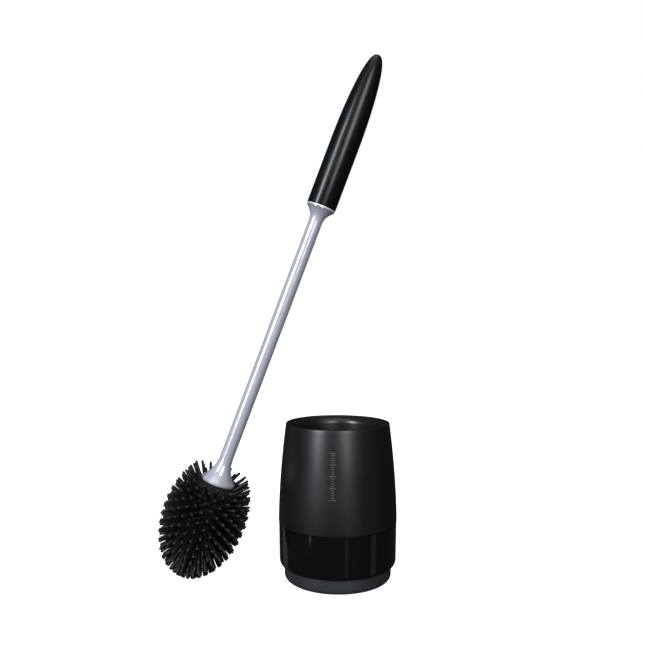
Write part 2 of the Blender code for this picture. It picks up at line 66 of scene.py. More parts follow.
def axialRadius(node):
    points = [vertex.co - brushMiddle for vertex in frame["nodes"][node].data.vertices]
    return max((point - brushAxis * point.dot(brushAxis)).length for point in points)


lean = Vector((0, 0, 1)).rotation_difference(brushAxis).to_matrix().to_4x4()
brushPlace = Matrix.Translation(brushMiddle) @ lean   # local +Z runs up the brush
upright = Matrix.Identity(4)                          # the holder's own frame


def softCorner(before, corner, after, size, steps):
    # a small round between two straight runs of an outline
    back = Vector(before) - Vector(corner)
    ahead = Vector(after) - Vector(corner)
    reach = min(size, 0.45 * back.length, 0.45 * ahead.length)
    start = Vector(corner) + back.normalized() * reach
    end = Vector(corner) + ahead.normalized() * reach
    points = []
    for step in range(steps + 1):
        t = step / steps
        points.append(start * (1 - t) ** 2 + Vector(corner) * 2 * t * (1 - t) + end * t ** 2)
    return [(point.x, point.y) for point in points]


def softOutline(corners, steps=4):
    # corners are (radius, height, round); the outline closes on itself or on the axis
    outline = []
    count = len(corners)
    for index, (radius, height, size) in enumerate(corners):
        before = corners[index - 1]
        after = corners[(index + 1) % count]
        if size <= 0 or radius <= 0:
            outline.append((radius, height))
        else:
            outline += softCorner(before[:2], (radius, height), after[:2], size, steps)
    return outline


def finishMesh(name, form, place, material, smoothAngle):
    bmesh.ops.recalc_face_normals(form, faces=form.faces)
    form.transform(place)
    mesh = bpy.data.meshes.new(name)
    form.to_mesh(mesh)
    form.free()
    mesh.shade_smooth()
    mesh.set_sharp_from_angle(angle=math.radians(smoothAngle))
    mesh.materials.append(material)
    piece = bpy.data.objects.new(name, mesh)
    bpy.context.scene.collection.objects.link(piece)
    return piece


def turnPiece(name, outline, place, material, steps=160, smoothAngle=40):
    # outline points are (radius, height); points on the axis become single vertices
    form = bmesh.new()
    rings = []
    for radius, height in outline:
        if radius < 1e-7:
            rings.append([form.verts.new((0, 0, height))])
            continue
        ring = []
        for step in range(steps):
            angle = 2 * math.pi * step / steps
            ring.append(form.verts.new((radius * math.cos(angle), radius * math.sin(angle), height)))
        rings.append(ring)
    for index, ring in enumerate(rings):
        other = rings[(index + 1) % len(rings)]
        if len(ring) == 1 and len(other) == 1:
            continue
        for step in range(steps):
            after = (step + 1) % steps
            if len(ring) == 1:
                form.faces.new((ring[0], other[step], other[after]))
            elif len(other) == 1:
                form.faces.new((ring[step], other[0], ring[after]))
            else:
                form.faces.new((ring[step], other[step], other[after], ring[after]))
    return finishMesh(name, form, place, material, smoothAngle)


def rodCutter(name, radius, bottom, top, x, y):
    form = bmesh.new()
    place = Matrix.Translation((x, y, (bottom + top) / 2))
    bmesh.ops.create_cone(
        form, cap_ends=True, segments=32, radius1=radius, radius2=radius, depth=top - bottom, matrix=place
    )
    mesh = bpy.data.meshes.new(name)
    form.to_mesh(mesh)
    form.free()
    cutter = bpy.data.objects.new(name, mesh)
    bpy.context.scene.collection.objects.link(cutter)
    return cutter


def applyCuts(piece, steps):
    # each step is (operation, cutter); the result goes back into the piece's mesh
    for operation, cutter in steps:
        boolean = piece.modifiers.new(cutter.name, "BOOLEAN")
        boolean.operation = operation
        boolean.solver = "EXACT"
        boolean.object = cutter
    evaluated = piece.evaluated_get(bpy.context.evaluated_depsgraph_get())
    mesh = bpy.data.meshes.new_from_object(evaluated)
    piece.modifiers.clear()
    piece.data = mesh
    for operation, cutter in steps:
        bpy.data.objects.remove(cutter)
    mesh.shade_smooth()
    mesh.set_sharp_from_angle(angle=math.radians(40))


def addNode(tree, kind, x, y, **settings):
    node = tree.nodes.new(kind)
    node.location = (x, y)
    for key, value in settings.items():
        setattr(node, key, value)
    return node


def fill(node, **values):
    # sets unlinked inputs by name, with underscores for spaces
    for key, value in values.items():
        node.inputs[key.replace("_", " ")].default_value = value
    return node


def join(source, output, target, entry):
    # links one node's output to another node's input in the same tree
    source.id_data.links.new(source.outputs[output], target.inputs[entry])


def newGroup(name, inputs, outputs):
    group = bpy.data.node_groups.new(name, "ShaderNodeTree")
    for label, kind, value in inputs:
        socket = group.interface.new_socket(label, in_out="INPUT", socket_type=kind)
        socket.default_value = value
    for label, kind in outputs:
        group.interface.new_socket(label, in_out="OUTPUT", socket_type=kind)
    entry = addNode(group, "NodeGroupInput", -900, 0)
    leave = addNode(group, "NodeGroupOutput", 700, 0)
    return group, entry, leave


def buildMouldGrain():
    # the fine spark-eroded texture of a moulded part
    group, entry, leave = newGroup(
        "mouldGrain",
        [("Cell Scale", "NodeSocketFloat", 4000.0), ("Patch Scale", "NodeSocketFloat", 60.0)],
        [("Height", "NodeSocketFloat"), ("Tone", "NodeSocketFloat")],
    )
    place = addNode(group, "ShaderNodeTexCoord", -900, -250)
    cells = addNode(group, "ShaderNodeTexVoronoi", -600, 100, feature="SMOOTH_F1")
    specks = fill(addNode(group, "ShaderNodeTexNoise", -600, -150), Detail=3.0, Roughness=0.6)
    patches = fill(addNode(group, "ShaderNodeTexNoise", -600, -400), Detail=4.0, Roughness=0.55)
    blend = addNode(group, "ShaderNodeMath", -300, 50, operation="MULTIPLY_ADD")
    spread = fill(addNode(group, "ShaderNodeMapRange", -300, -300), From_Min=0.3, From_Max=0.7)
    blend.inputs[1].default_value = 0.6
    join(place, "Object", cells, "Vector")
    join(place, "Object", specks, "Vector")
    join(place, "Object", patches, "Vector")
    join(entry, "Cell Scale", cells, "Scale")
    join(entry, "Cell Scale", specks, "Scale")
    join(entry, "Patch Scale", patches, "Scale")
    join(cells, "Distance", blend, 0)
    join(specks, "Fac", blend, 2)
    join(patches, "Fac", spread, "Value")
    join(blend, 0, leave, "Height")
    join(spread, "Result", leave, "Tone")
    return group


def buildHandlingMarks():
    # soft smears and hair scratches that change how rough a surface is
    group, entry, leave = newGroup(
        "handlingMarks",
        [
            ("Clean Roughness", "NodeSocketFloat", 0.2),
            ("Worn Roughness", "NodeSocketFloat", 0.4),
            ("Smear Scale", "NodeSocketFloat", 40.0),
            ("Scratch Scale", "NodeSocketFloat", 220.0),
        ],
        [("Roughness", "NodeSocketFloat"), ("Scratches", "NodeSocketFloat")],
    )
    place = addNode(group, "ShaderNodeTexCoord", -900, -300)
    smears = fill(addNode(group, "ShaderNodeTexNoise", -600, 150), Detail=5.0, Distortion=0.6)
    squash = fill(addNode(group, "ShaderNodeMapping", -650, -300), Scale=(1.0, 1.0, 0.06))
    hairs = fill(addNode(group, "ShaderNodeTexNoise", -450, -300), Detail=2.0, Roughness=0.5)
    thin = fill(addNode(group, "ShaderNodeMapRange", -250, -300), From_Min=0.66, From_Max=0.74)
    soft = fill(addNode(group, "ShaderNodeMapRange", -400, 150), From_Min=0.42, From_Max=0.74)
    both = addNode(group, "ShaderNodeMath", -100, 0, operation="MULTIPLY_ADD", use_clamp=True)
    both.inputs[1].default_value = 0.35
    level = addNode(group, "ShaderNodeMix", 300, 100, data_type="FLOAT")
    join(place, "Object", smears, "Vector")
    join(place, "Object", squash, "Vector")
    join(squash, "Vector", hairs, "Vector")
    join(entry, "Smear Scale", smears, "Scale")
    join(entry, "Scratch Scale", hairs, "Scale")
    join(hairs, "Fac", thin, "Value")
    join(smears, "Fac", soft, "Value")
    join(thin, "Result", both, 0)
    join(soft, "Result", both, 2)
    join(both, 0, level, 0)
    join(entry, "Clean Roughness", level, 2)
    join(entry, "Worn Roughness", level, 3)
    join(level, 0, leave, "Roughness")
    join(thin, "Result", leave, "Scratches")
    return group


def buildDustFilm():
    # a thin film of dust where a surface faces up
    group, entry, leave = newGroup(
        "dustFilm",
        [("Amount", "NodeSocketFloat", 0.1), ("Speck Scale", "NodeSocketFloat", 900.0)],
        [("Mask", "NodeSocketFloat")],
    )
    place = addNode(group, "ShaderNodeTexCoord", -900, -250)
    facing = addNode(group, "ShaderNodeNewGeometry", -900, 250)
    split = addNode(group, "ShaderNodeSeparateXYZ", -700, 250)
    rising = fill(addNode(group, "ShaderNodeMapRange", -500, 250), From_Min=0.35, From_Max=1.0)
    specks = fill(addNode(group, "ShaderNodeTexNoise", -600, -200), Detail=6.0, Roughness=0.7)
    sharpen = fill(addNode(group, "ShaderNodeMapRange", -400, -200), From_Min=0.45, From_Max=0.75)
    both = addNode(group, "ShaderNodeMath", -150, 100, operation="MULTIPLY")
    amount = addNode(group, "ShaderNodeMath", 100, 100, operation="MULTIPLY", use_clamp=True)
    join(facing, "Normal", split, 0)
    join(split, "Z", rising, "Value")
    join(place, "Object", specks, "Vector")
    join(entry, "Speck Scale", specks, "Scale")
    join(specks, "Fac", sharpen, "Value")
    join(rising, "Result", both, 0)
    join(sharpen, "Result", both, 1)
    join(both, 0, amount, 0)
    join(entry, "Amount", amount, 1)
    join(amount, 0, leave, "Mask")
    return group


mouldGrain = buildMouldGrain()
handlingMarks = buildHandlingMarks()
dustFilm = buildDustFilm()


def newMaterial(name, **shaderValues):
    material = bpy.data.materials.new(name)
    material.use_nodes = True
    tree = material.node_tree
    shader = tree.nodes["Principled BSDF"]
    fill(shader, **shaderValues)
    return material, tree, shader


def placeGroup(tree, group, x, y, **values):
    node = addNode(tree, "ShaderNodeGroup", x, y, node_tree=group)
    return fill(node, **values)


def mixColor(tree, x, y, mask, first, second):
    # mask is a socket; first and second are colours or sockets
    mix = addNode(tree, "ShaderNodeMix", x, y, data_type="RGBA")
    tree.links.new(mask, mix.inputs[0])
    for index, value in ((6, first), (7, second)):
        if isinstance(value, tuple):
            mix.inputs[index].default_value = (*value, 1.0)
        else:
            tree.links.new(value, mix.inputs[index])
    return mix.outputs[2]


def addBump(tree, shader, height, distance, strength):
    bump = fill(addNode(tree, "ShaderNodeBump", -250, -350), Strength=strength, Distance=distance)
    tree.links.new(height, bump.inputs["Height"])
    join(bump, "Normal", shader, "Normal")


def mouldedPlastic(name, settings):
    # a moulded plastic: two close tones, a grain, handling marks and a little dust
    material, tree, shader = newMaterial(name, **settings["shader"])
    grain = placeGroup(tree, mouldGrain, -900, 0, **settings["grain"])
    marks = placeGroup(tree, handlingMarks, -900, -250, **settings["marks"])
    dust = placeGroup(tree, dustFilm, -900, 250, **settings["dust"])
    tone = mixColor(tree, -600, 100, grain.outputs["Tone"], settings["deep"], settings["light"])
    dusty = mixColor(tree, -350, 150, dust.outputs["Mask"], tone, settings["dustColor"])
    tree.links.new(dusty, shader.inputs["Base Color"])
    join(marks, "Roughness", shader, "Roughness")
    addBump(tree, shader, grain.outputs["Height"], settings["bumpDepth"], settings["bumpStrength"])
    return material


studio = {
    "cameraPlace": (-0.01138, -0.540, 0.19994),
    "cameraPitch": 0.967,
    "lens": 40.36,
    "floorSize": 7.0,
    "floorDrop": 0.0002,
    "floorColor": (0.86, 0.86, 0.865),
    "floorGlow": 1.0,
    "aim": (-0.03, 0.0, 0.12),
    "backdrop": (1.0, 1.0, 1.0),
    "fillLight": 0.16,
    "mirrorLight": 0.022,
}

softboxes = {
    "keyLeft": {
        "azimuth": -42, "distance": 1.6, "height": 0.76, "wide": 0.20, "tall": 1.1, "power": 32,
        "color": (0.86, 0.93, 1.0),
    },
    "keyRight": {
        "azimuth": 17.5, "distance": 1.6, "height": 0.76, "wide": 0.40, "tall": 1.1, "power": 19.5,
        "color": (0.96, 0.98, 1.0),
    },
    "warmStrip": {
        "azimuth": 17, "distance": 1.2, "height": -0.40, "wide": 0.09, "tall": 0.50, "power": 0.028,
        "color": (1.0, 0.84, 0.66),
    },
    "rightStrip": {
        "azimuth": 72, "distance": 1.2, "height": -0.40, "wide": 0.22, "tall": 0.55, "power": 0.055,
        "color": (1.0, 0.88, 0.74),
    },
    "paleStrip": {
        "azimuth": -54, "distance": 1.2, "height": -0.33, "wide": 0.08, "tall": 0.14, "power": 0.025,
        "color": (1.0, 0.98, 0.95),
    },
    "edgeStrip": {
        "azimuth": -126, "distance": 1.2, "height": -0.38, "wide": 0.40, "tall": 0.60, "power": 0.10,
        "color": (1.0, 0.93, 0.84),
    },
    "top": {
        "azimuth": 10, "distance": 0.35, "height": 1.7, "wide": 1.2, "tall": 1.2, "power": 7,
        "color": (1.0, 1.0, 1.0),
    },
}


def buildFloor():
    form = bmesh.new()
    bmesh.ops.create_grid(form, x_segments=8, y_segments=8, size=studio["floorSize"])
    mesh = bpy.data.meshes.new("floor")
    form.to_mesh(mesh)
    form.free()
    floor = bpy.data.objects.new("floor", mesh)
    bpy.context.scene.collection.objects.link(floor)
    floor.location.z = -studio["floorDrop"]
    floor.visible_glossy = False
    floor.visible_diffuse = False
    floor.visible_shadow = False
    material, tree, shader = newMaterial("paleFloor", Roughness=0.7, Specular_IOR_Level=0.2)
    shader.inputs["Emission Color"].default_value = (1.0, 1.0, 1.0, 1.0)
    shader.inputs["Emission Strength"].default_value = studio["floorGlow"]
    noise = fill(addNode(tree, "ShaderNodeTexNoise", -700, 0), Scale=3.0, Detail=6.0)
    color = studio["floorColor"]
    warmer = (color[0], color[1], color[2] - 0.008)
    tree.links.new(mixColor(tree, -400, 0, noise.outputs["Fac"], color, warmer), shader.inputs["Base Color"])
    mesh.materials.append(material)


def buildWorld():
    world = bpy.data.worlds.new("studio")
    bpy.context.scene.world = world
    world.use_nodes = True
    tree = world.node_tree
    background = tree.nodes["Background"]
    path = addNode(tree, "ShaderNodeLightPath", -700, 200)
    mirror = addNode(tree, "ShaderNodeMix", -450, 0, data_type="FLOAT")
    seen = addNode(tree, "ShaderNodeMix", -250, 100, data_type="FLOAT")
    mirror.inputs[2].default_value = studio["fillLight"]
    mirror.inputs[3].default_value = studio["mirrorLight"]
    seen.inputs[3].default_value = 1.0
    join(path, "Is Glossy Ray", mirror, 0)
    join(path, "Is Camera Ray", seen, 0)
    join(mirror, 0, seen, 2)
    join(seen, 0, background, "Strength")
    background.inputs["Color"].default_value = (*studio["backdrop"], 1.0)


def buildSoftboxes():
    aim = Vector(studio["aim"])
    for name, box in softboxes.items():
        light = bpy.data.lights.new(name, "AREA")
        light.shape = "RECTANGLE"
        light.size = box["wide"]
        light.size_y = box["tall"]
        light.energy = box["power"]
        light.color = box["color"]
        angle = math.radians(box["azimuth"])
        spot = Vector((math.sin(angle), -math.cos(angle), 0)) * box["distance"]
        holder = bpy.data.objects.new(name, light)
        holder.location = (aim.x + spot.x, aim.y + spot.y, box["height"])
        holder.rotation_mode = "QUATERNION"
        holder.rotation_quaternion = (aim - holder.location).to_track_quat("-Z", "Y")
        bpy.context.scene.collection.objects.link(holder)


def buildCamera():
    data = bpy.data.cameras.new("camera")
    data.lens = studio["lens"]
    data.sensor_width = 36.0
    data.clip_start = 0.01
    camera = bpy.data.objects.new("camera", data)
    camera.location = studio["cameraPlace"]
    camera.rotation_euler = (math.radians(90 - studio["cameraPitch"]), 0, 0)
    bpy.context.scene.collection.objects.link(camera)
    bpy.context.scene.camera = camera
    bpy.context.scene.view_settings.view_transform = "Standard"


buildFloor()
buildWorld()
buildSoftboxes()
buildCamera()
print("studio ready")


matteBlack = mouldedPlastic("matteBlack", {
    "shader": {"Specular_IOR_Level": 0.5, "IOR": 1.5},
    "deep": (0.0038, 0.0042, 0.0050),
    "light": (0.0056, 0.0060, 0.0070),
    "dustColor": (0.07, 0.07, 0.07),
    "grain": {"Cell_Scale": 3600.0, "Patch_Scale": 45.0},
    "marks": {"Clean_Roughness": 0.34, "Worn_Roughness": 0.40, "Smear_Scale": 28.0, "Scratch_Scale": 260.0},
    "dust": {"Amount": 0.05, "Speck_Scale": 1400.0},
    "bumpDepth": 0.00003,
    "bumpStrength": 0.16,
})

cupBlack = mouldedPlastic("cupBlack", {
    "shader": {"Specular_IOR_Level": 0.5, "IOR": 1.5},
    "deep": (0.0050, 0.0054, 0.0062),
    "light": (0.0070, 0.0075, 0.0085),
    "dustColor": (0.08, 0.08, 0.08),
    "grain": {"Cell_Scale": 3000.0, "Patch_Scale": 40.0},
    "marks": {"Clean_Roughness": 0.30, "Worn_Roughness": 0.40, "Smear_Scale": 34.0, "Scratch_Scale": 300.0},
    "dust": {"Amount": 0.08, "Speck_Scale": 1200.0},
    "bumpDepth": 0.00003,
    "bumpStrength": 0.12,
})

glossBlack = mouldedPlastic("glossBlack", {
    "shader": {"Specular_IOR_Level": 0.5, "IOR": 1.5, "Coat_Weight": 0.25, "Coat_Roughness": 0.04},
    "deep": (0.0025, 0.0028, 0.0032),
    "light": (0.0034, 0.0036, 0.0040),
    "dustColor": (0.05, 0.05, 0.05),
    "grain": {"Cell_Scale": 900.0, "Patch_Scale": 30.0},
    "marks": {"Clean_Roughness": 0.07, "Worn_Roughness": 0.15, "Smear_Scale": 36.0, "Scratch_Scale": 420.0},
    "dust": {"Amount": 0.04, "Speck_Scale": 1600.0},
    "bumpDepth": 0.00002,
    "bumpStrength": 0.02,
})

graphite = mouldedPlastic("graphite", {
    "shader": {"Specular_IOR_Level": 0.45, "IOR": 1.5},
    "deep": (0.018, 0.0205, 0.024),
    "light": (0.023, 0.0255, 0.030),
    "dustColor": (0.10, 0.10, 0.10),
    "grain": {"Cell_Scale": 3200.0, "Patch_Scale": 50.0},
    "marks": {"Clean_Roughness": 0.42, "Worn_Roughness": 0.52, "Smear_Scale": 30.0, "Scratch_Scale": 240.0},
    "dust": {"Amount": 0.05, "Speck_Scale": 1400.0},
    "bumpDepth": 0.00003,
    "bumpStrength": 0.18,
})

padRubber = mouldedPlastic("padRubber", {
    "shader": {"Specular_IOR_Level": 0.3, "IOR": 1.5},
    "deep": (0.020, 0.020, 0.021),
    "light": (0.030, 0.030, 0.031),
    "dustColor": (0.16, 0.155, 0.15),
    "grain": {"Cell_Scale": 2200.0, "Patch_Scale": 70.0},
    "marks": {"Clean_Roughness": 0.72, "Worn_Roughness": 0.90, "Smear_Scale": 60.0, "Scratch_Scale": 200.0},
    "dust": {"Amount": 0.25, "Speck_Scale": 800.0},
    "bumpDepth": 0.00008,
    "bumpStrength": 0.35,
})


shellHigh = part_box("outer_shell")[1]
cupLow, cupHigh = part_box("inner_cup")
bandLow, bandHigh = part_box("gloss_band")
footLow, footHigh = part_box("base_foot")
padLow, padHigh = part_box("anti_slip_pad")
screwBoxes = [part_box(f"base_screw_{number}") for number in (1, 2, 3)]
screwShank = 0.0014
overrun = 0.001   # how far a cutter passes the face it cuts

barrel = {
    "widestHeight": 0.0435,
    "rimInset": 0.0054,
    "taperPower": 1.75,
    "wall": 0.0022,
    "rimWall": 0.0011,
    "ledgeDepth": 0.0030,
    "bandDraft": 0.0006,
    "spigotDepth": 0.0080,
    "gap": 0.0003,
    "rimRound": 0.00035,
    "seamRound": 0.00025,
    "curveSteps": 40,
}
barrelWide = shellHigh.x
rimRadius = barrelWide - barrel["rimInset"]
barrelTop = shellHigh.z
seam = bandHigh.z


def barrelRadius(height):
    rise = max(0.0, height - barrel["widestHeight"]) / (barrelTop - barrel["widestHeight"])
    return barrelWide - barrel["rimInset"] * rise ** barrel["taperPower"]


def buildOuterShell():
    bottom = seam + barrel["gap"]
    ledge = barrelTop - barrel["ledgeDepth"]
    rimInner = rimRadius - barrel["rimWall"]
    ledgeInner = rimInner - barrel["wall"]
    spigotOuter = bandHigh.x - barrel["bandDraft"] - barrel["wall"] - barrel["gap"]
    spigotInner = spigotOuter - barrel["wall"]
    spigotBottom = seam - barrel["spigotDepth"]
    corners = [(rimRadius, barrelTop, barrel["rimRound"])]
    steps = barrel["curveSteps"]
    for step in range(1, steps):
        height = barrelTop + (bottom - barrelTop) * step / steps
        corners.append((barrelRadius(height), height, 0))
    corners += [
        (barrelWide, bottom, barrel["seamRound"]),
        (spigotOuter, bottom, 0),
        (spigotOuter, spigotBottom, barrel["seamRound"]),
        (spigotInner, spigotBottom, barrel["seamRound"]),
        (spigotInner, bottom + barrel["wall"], 0.0006),
    ]
    innerBottom = bottom + 3 * barrel["wall"]
    innerTop = ledge - 2 * barrel["wall"]
    for step in range(25):
        height = innerBottom + (innerTop - innerBottom) * step / 24
        corners.append((barrelRadius(height) - barrel["wall"], height, 0))
    corners += [
        (ledgeInner, ledge - barrel["wall"], 0.0004),
        (ledgeInner, ledge, barrel["seamRound"]),
        (rimInner, ledge, 0.0001),
        (rimInner, barrelTop, 0.0002),
    ]
    shell = turnPiece("outerShell", softOutline(corners), upright, matteBlack, 192)
    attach(shell, "holder")
    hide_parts("outer_shell")


cup = {
    "lipWidth": 0.0062,
    "lipSlope": 30.0,
    "wall": 0.0018,
    "draft": 0.0012,
    "rollRound": 0.0026,
    "floorRound": 0.0060,
    "ringRadius": 0.0170,
    "ringRise": 0.0005,
    "ringSlope": 0.0003,
    "ringWidth": 0.0015,
}


def buildInnerCup():
    lipOuter = cupHigh.x
    lipTop = cupHigh.z
    mouth = rimRadius - barrel["gap"] - cup["lipWidth"]
    seat = barrelTop - barrel["ledgeDepth"] + barrel["gap"]
    lipDrop = (lipOuter - mouth) * math.tan(math.radians(cup["lipSlope"]))
    floorTop = cupLow.z + cup["wall"]
    base = mouth - cup["draft"]
    corners = [
        (lipOuter, lipTop, 0.0002),
        (lipOuter, seat, 0.0003),
        (mouth + cup["wall"], seat, 0.0003),
        (base + cup["wall"], cupLow.z, 1.4 * cup["floorRound"]),
        (0.0, cupLow.z, 0),
        (0.0, floorTop, 0),
        (cup["ringRadius"], floorTop, 0.0002),
        (cup["ringRadius"] + cup["ringSlope"], floorTop + cup["ringRise"], 0.0002),
        (cup["ringRadius"] + cup["ringWidth"], floorTop + cup["ringRise"], 0.0002),
        (cup["ringRadius"] + cup["ringWidth"] + cup["ringSlope"], floorTop, 0.0002),
        (base, floorTop, 1.3 * cup["floorRound"]),
        (mouth, lipTop - lipDrop, 1.4 * cup["rollRound"]),
    ]
    piece = turnPiece("innerCup", softOutline(corners, 10), upright, cupBlack, 192)
    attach(piece, "cup")
    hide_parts("inner_cup")


band = {
    "bottomRound": 0.0026,
    "webThickness": 0.0022,
    "bossWall": 0.0018,
    "bossStart": 0.0011,
    "bossHeight": 0.0030,
    "pilotReach": 0.005,
}


def bossPlaces():
    for low, high in screwBoxes:
        yield (low.x + high.x) / 2, (low.y + high.y) / 2


def buildGlossBand():
    top = bandHigh.x
    bottom = top - barrel["bandDraft"]
    inner = bottom - barrel["wall"]
    low = bandLow.z
    webTop = low + band["webThickness"]
    bossX, bossY = next(bossPlaces())
    pilot = screwShank + barrel["gap"]
    bossRadius = pilot + band["bossWall"]
    webInner = math.hypot(bossX, bossY) - bossRadius - band["bossWall"]
    corners = [
        (top, bandHigh.z, 0),
        (bottom, low, 1.45 * band["bottomRound"]),
        (webInner, low, 0.0003),
        (webInner, webTop, 0.0003),
        (bottom - band["bottomRound"], webTop, 0.0006),
        (inner, low + band["bottomRound"] + barrel["gap"], 0.0010),
        (inner, bandHigh.z, 0.0003),
    ]
    piece = turnPiece("glossBand", softOutline(corners, 8), upright, glossBlack, 192)
    cuts = []
    for index, (x, y) in enumerate(bossPlaces()):
        boss = rodCutter(
            f"boss{index}", bossRadius, low + band["bossStart"], webTop + band["bossHeight"], x, y
        )
        cuts.append(("UNION", boss))
    for index, (x, y) in enumerate(bossPlaces()):
        hole = rodCutter(f"pilot{index}", pilot, low - overrun, webTop + band["pilotReach"], x, y)
        cuts.append(("DIFFERENCE", hole))
    applyCuts(piece, cuts)
    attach(piece, "holder")
    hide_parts("gloss_band")


foot = {
    "bottomRound": 0.0056,
    "wall": 0.0024,
    "floor": 0.0030,
    "bossStart": 0.0018,
    "headRadius": 0.0028,
    "headHeight": 0.0020,
}


def buildBaseFoot():
    outer = footHigh.x
    low = footLow.z
    top = footHigh.z
    inner = outer - foot["wall"]
    floorTop = low + foot["floor"]
    recess = padHigh.x + barrel["gap"]
    recessTop = padHigh.z + barrel["gap"]
    corners = [
        (outer, top, 0.0003),
        (outer, low, 1.45 * foot["bottomRound"]),
        (recess, low, 0.0002),
        (recess, recessTop, 0),
        (0.0, recessTop, 0),
        (0.0, floorTop, 0),
        (inner - foot["floor"], floorTop, 0.0008),
        (inner, floorTop + foot["floor"], 0.0008),
        (inner, top, 0.0003),
    ]
    piece = turnPiece("baseFoot", softOutline(corners, 10), upright, graphite, 192)
    clear = foot["headRadius"] + barrel["gap"]
    headBottom = screwBoxes[0][0].z
    shank = screwShank + barrel["gap"]
    cuts = []
    for index, (x, y) in enumerate(bossPlaces()):
        boss = rodCutter(f"footBoss{index}", clear + band["bossWall"], low + foot["bossStart"], top, x, y)
        cuts.append(("UNION", boss))
    for index, (x, y) in enumerate(bossPlaces()):
        headTop = headBottom + foot["headHeight"] + barrel["gap"]
        cuts.append(("DIFFERENCE", rodCutter(f"counterbore{index}", clear, -overrun, headTop, x, y)))
        cuts.append(("DIFFERENCE", rodCutter(f"shankHole{index}", shank, headBottom, top + overrun, x, y)))
    applyCuts(piece, cuts)
    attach(piece, "holder")
    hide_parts("base_foot")


pad = {
    "grooveCount": 7,
    "groovePitch": 0.0036,
    "grooveWidth": 0.0008,
    "grooveDepth": 0.0004,
    "grooveSlope": 0.0001,
    "plainEdge": 0.0030,
}


def buildPad():
    outer = padHigh.x
    top = padHigh.z
    corners = [(0.0, top, 0), (outer, top, 0.0002), (outer, padLow.z, 0.0005)]
    for number in range(pad["grooveCount"]):
        edge = outer - pad["plainEdge"] - number * pad["groovePitch"]
        farEdge = edge - pad["grooveWidth"]
        deep = padLow.z + pad["grooveDepth"]
        corners += [
            (edge, padLow.z, 0.0001),
            (edge - pad["grooveSlope"], deep, 0.0001),
            (farEdge, deep, 0.0001),
            (farEdge - pad["grooveSlope"], padLow.z, 0.0001),
        ]
    corners.append((0.0, padLow.z, 0))
    piece = turnPiece("antiSlipPad", softOutline(corners, 3), upright, padRubber, 128)
    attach(piece, "holder")
    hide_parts("anti_slip_pad")


buildOuterShell()
buildInnerCup()
buildGlossBand()
buildBaseFoot()
buildPad()
print("holder built")


ticks = {
    "azimuth": -5.9,
    "top": 0.1010,
    "pitch": 0.00160,
    "tall": 0.00050,
    "count": 21,
    "longEvery": 5,
    "longWidth": 0.0044,
    "shortWidth": 0.0024,
    "standOut": 0.00005,
    "sink": 0.00005,
}


def foilMaterial():
    material, tree, shader = newMaterial("silverFoil", Metallic=0.6)
    noise = fill(addNode(tree, "ShaderNodeTexNoise", -800, 0), Scale=1500.0, Detail=3.0)
    tone = mixColor(tree, -450, 100, noise.outputs["Fac"], (0.07, 0.07, 0.069), (0.19, 0.19, 0.186))
    rough = fill(addNode(tree, "ShaderNodeMapRange", -450, -150), To_Min=0.28, To_Max=0.46)
    join(noise, "Fac", rough, "Value")
    tree.links.new(tone, shader.inputs["Base Color"])
    join(rough, "Result", shader, "Roughness")
    return material


def buildTicks():
    form = bmesh.new()
    middle = math.radians(ticks["azimuth"] - 90)
    for number in range(ticks["count"]):
        top = ticks["top"] - number * ticks["pitch"]
        width = ticks["shortWidth"] if number % ticks["longEvery"] else ticks["longWidth"]
        half = 0.5 * width / barrelRadius(top)
        layers = []
        for offset in (ticks["standOut"], -ticks["sink"]):
            rows = []
            for height in (top, top - ticks["tall"]):
                radius = barrelRadius(height) + offset
                row = []
                for step in range(5):
                    angle = middle + half * (step / 2 - 1)
                    spot = (radius * math.cos(angle), radius * math.sin(angle), height)
                    row.append(form.verts.new(spot))
                rows.append(row)
            layers.append(rows)
        outside, inside = layers
        for step in range(4):
            form.faces.new((outside[0][step], outside[1][step], outside[1][step + 1], outside[0][step + 1]))
            form.faces.new((inside[0][step], inside[0][step + 1], inside[1][step + 1], inside[1][step]))
            for row in (0, 1):
                form.faces.new((
                    outside[row][step], outside[row][step + 1], inside[row][step + 1], inside[row][step],
                ))
        for step in (0, 4):
            form.faces.new((outside[0][step], outside[1][step], inside[1][step], inside[0][step]))
    piece = finishMesh("foilTicks", form, upright, foilMaterial(), 40)
    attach(piece, "holder")


buildTicks()


gripBlack = mouldedPlastic("gripBlack", {
    "shader": {"Specular_IOR_Level": 0.28, "IOR": 1.5},
    "deep": (0.0030, 0.0034, 0.0040),
    "light": (0.0044, 0.0048, 0.0056),
    "dustColor": (0.06, 0.06, 0.06),
    "grain": {"Cell_Scale": 2600.0, "Patch_Scale": 60.0},
    "marks": {"Clean_Roughness": 0.27, "Worn_Roughness": 0.33, "Smear_Scale": 50.0, "Scratch_Scale": 380.0},
    "dust": {"Amount": 0.03, "Speck_Scale": 1600.0},
    "bumpDepth": 0.000004,
    "bumpStrength": 0.02,
})

silverLacquer = mouldedPlastic("silverLacquer", {
    "shader": {
        "Specular_IOR_Level": 0.5, "IOR": 1.5, "Metallic": 0.30, "Coat_Weight": 0.5, "Coat_Roughness": 0.16,
    },
    "deep": (0.43, 0.43, 0.49),
    "light": (0.48, 0.48, 0.54),
    "dustColor": (0.30, 0.30, 0.30),
    "grain": {"Cell_Scale": 5200.0, "Patch_Scale": 80.0},
    "marks": {"Clean_Roughness": 0.26, "Worn_Roughness": 0.36, "Smear_Scale": 60.0, "Scratch_Scale": 420.0},
    "dust": {"Amount": 0.03, "Speck_Scale": 1600.0},
    "bumpDepth": 0.00002,
    "bumpStrength": 0.05,
})

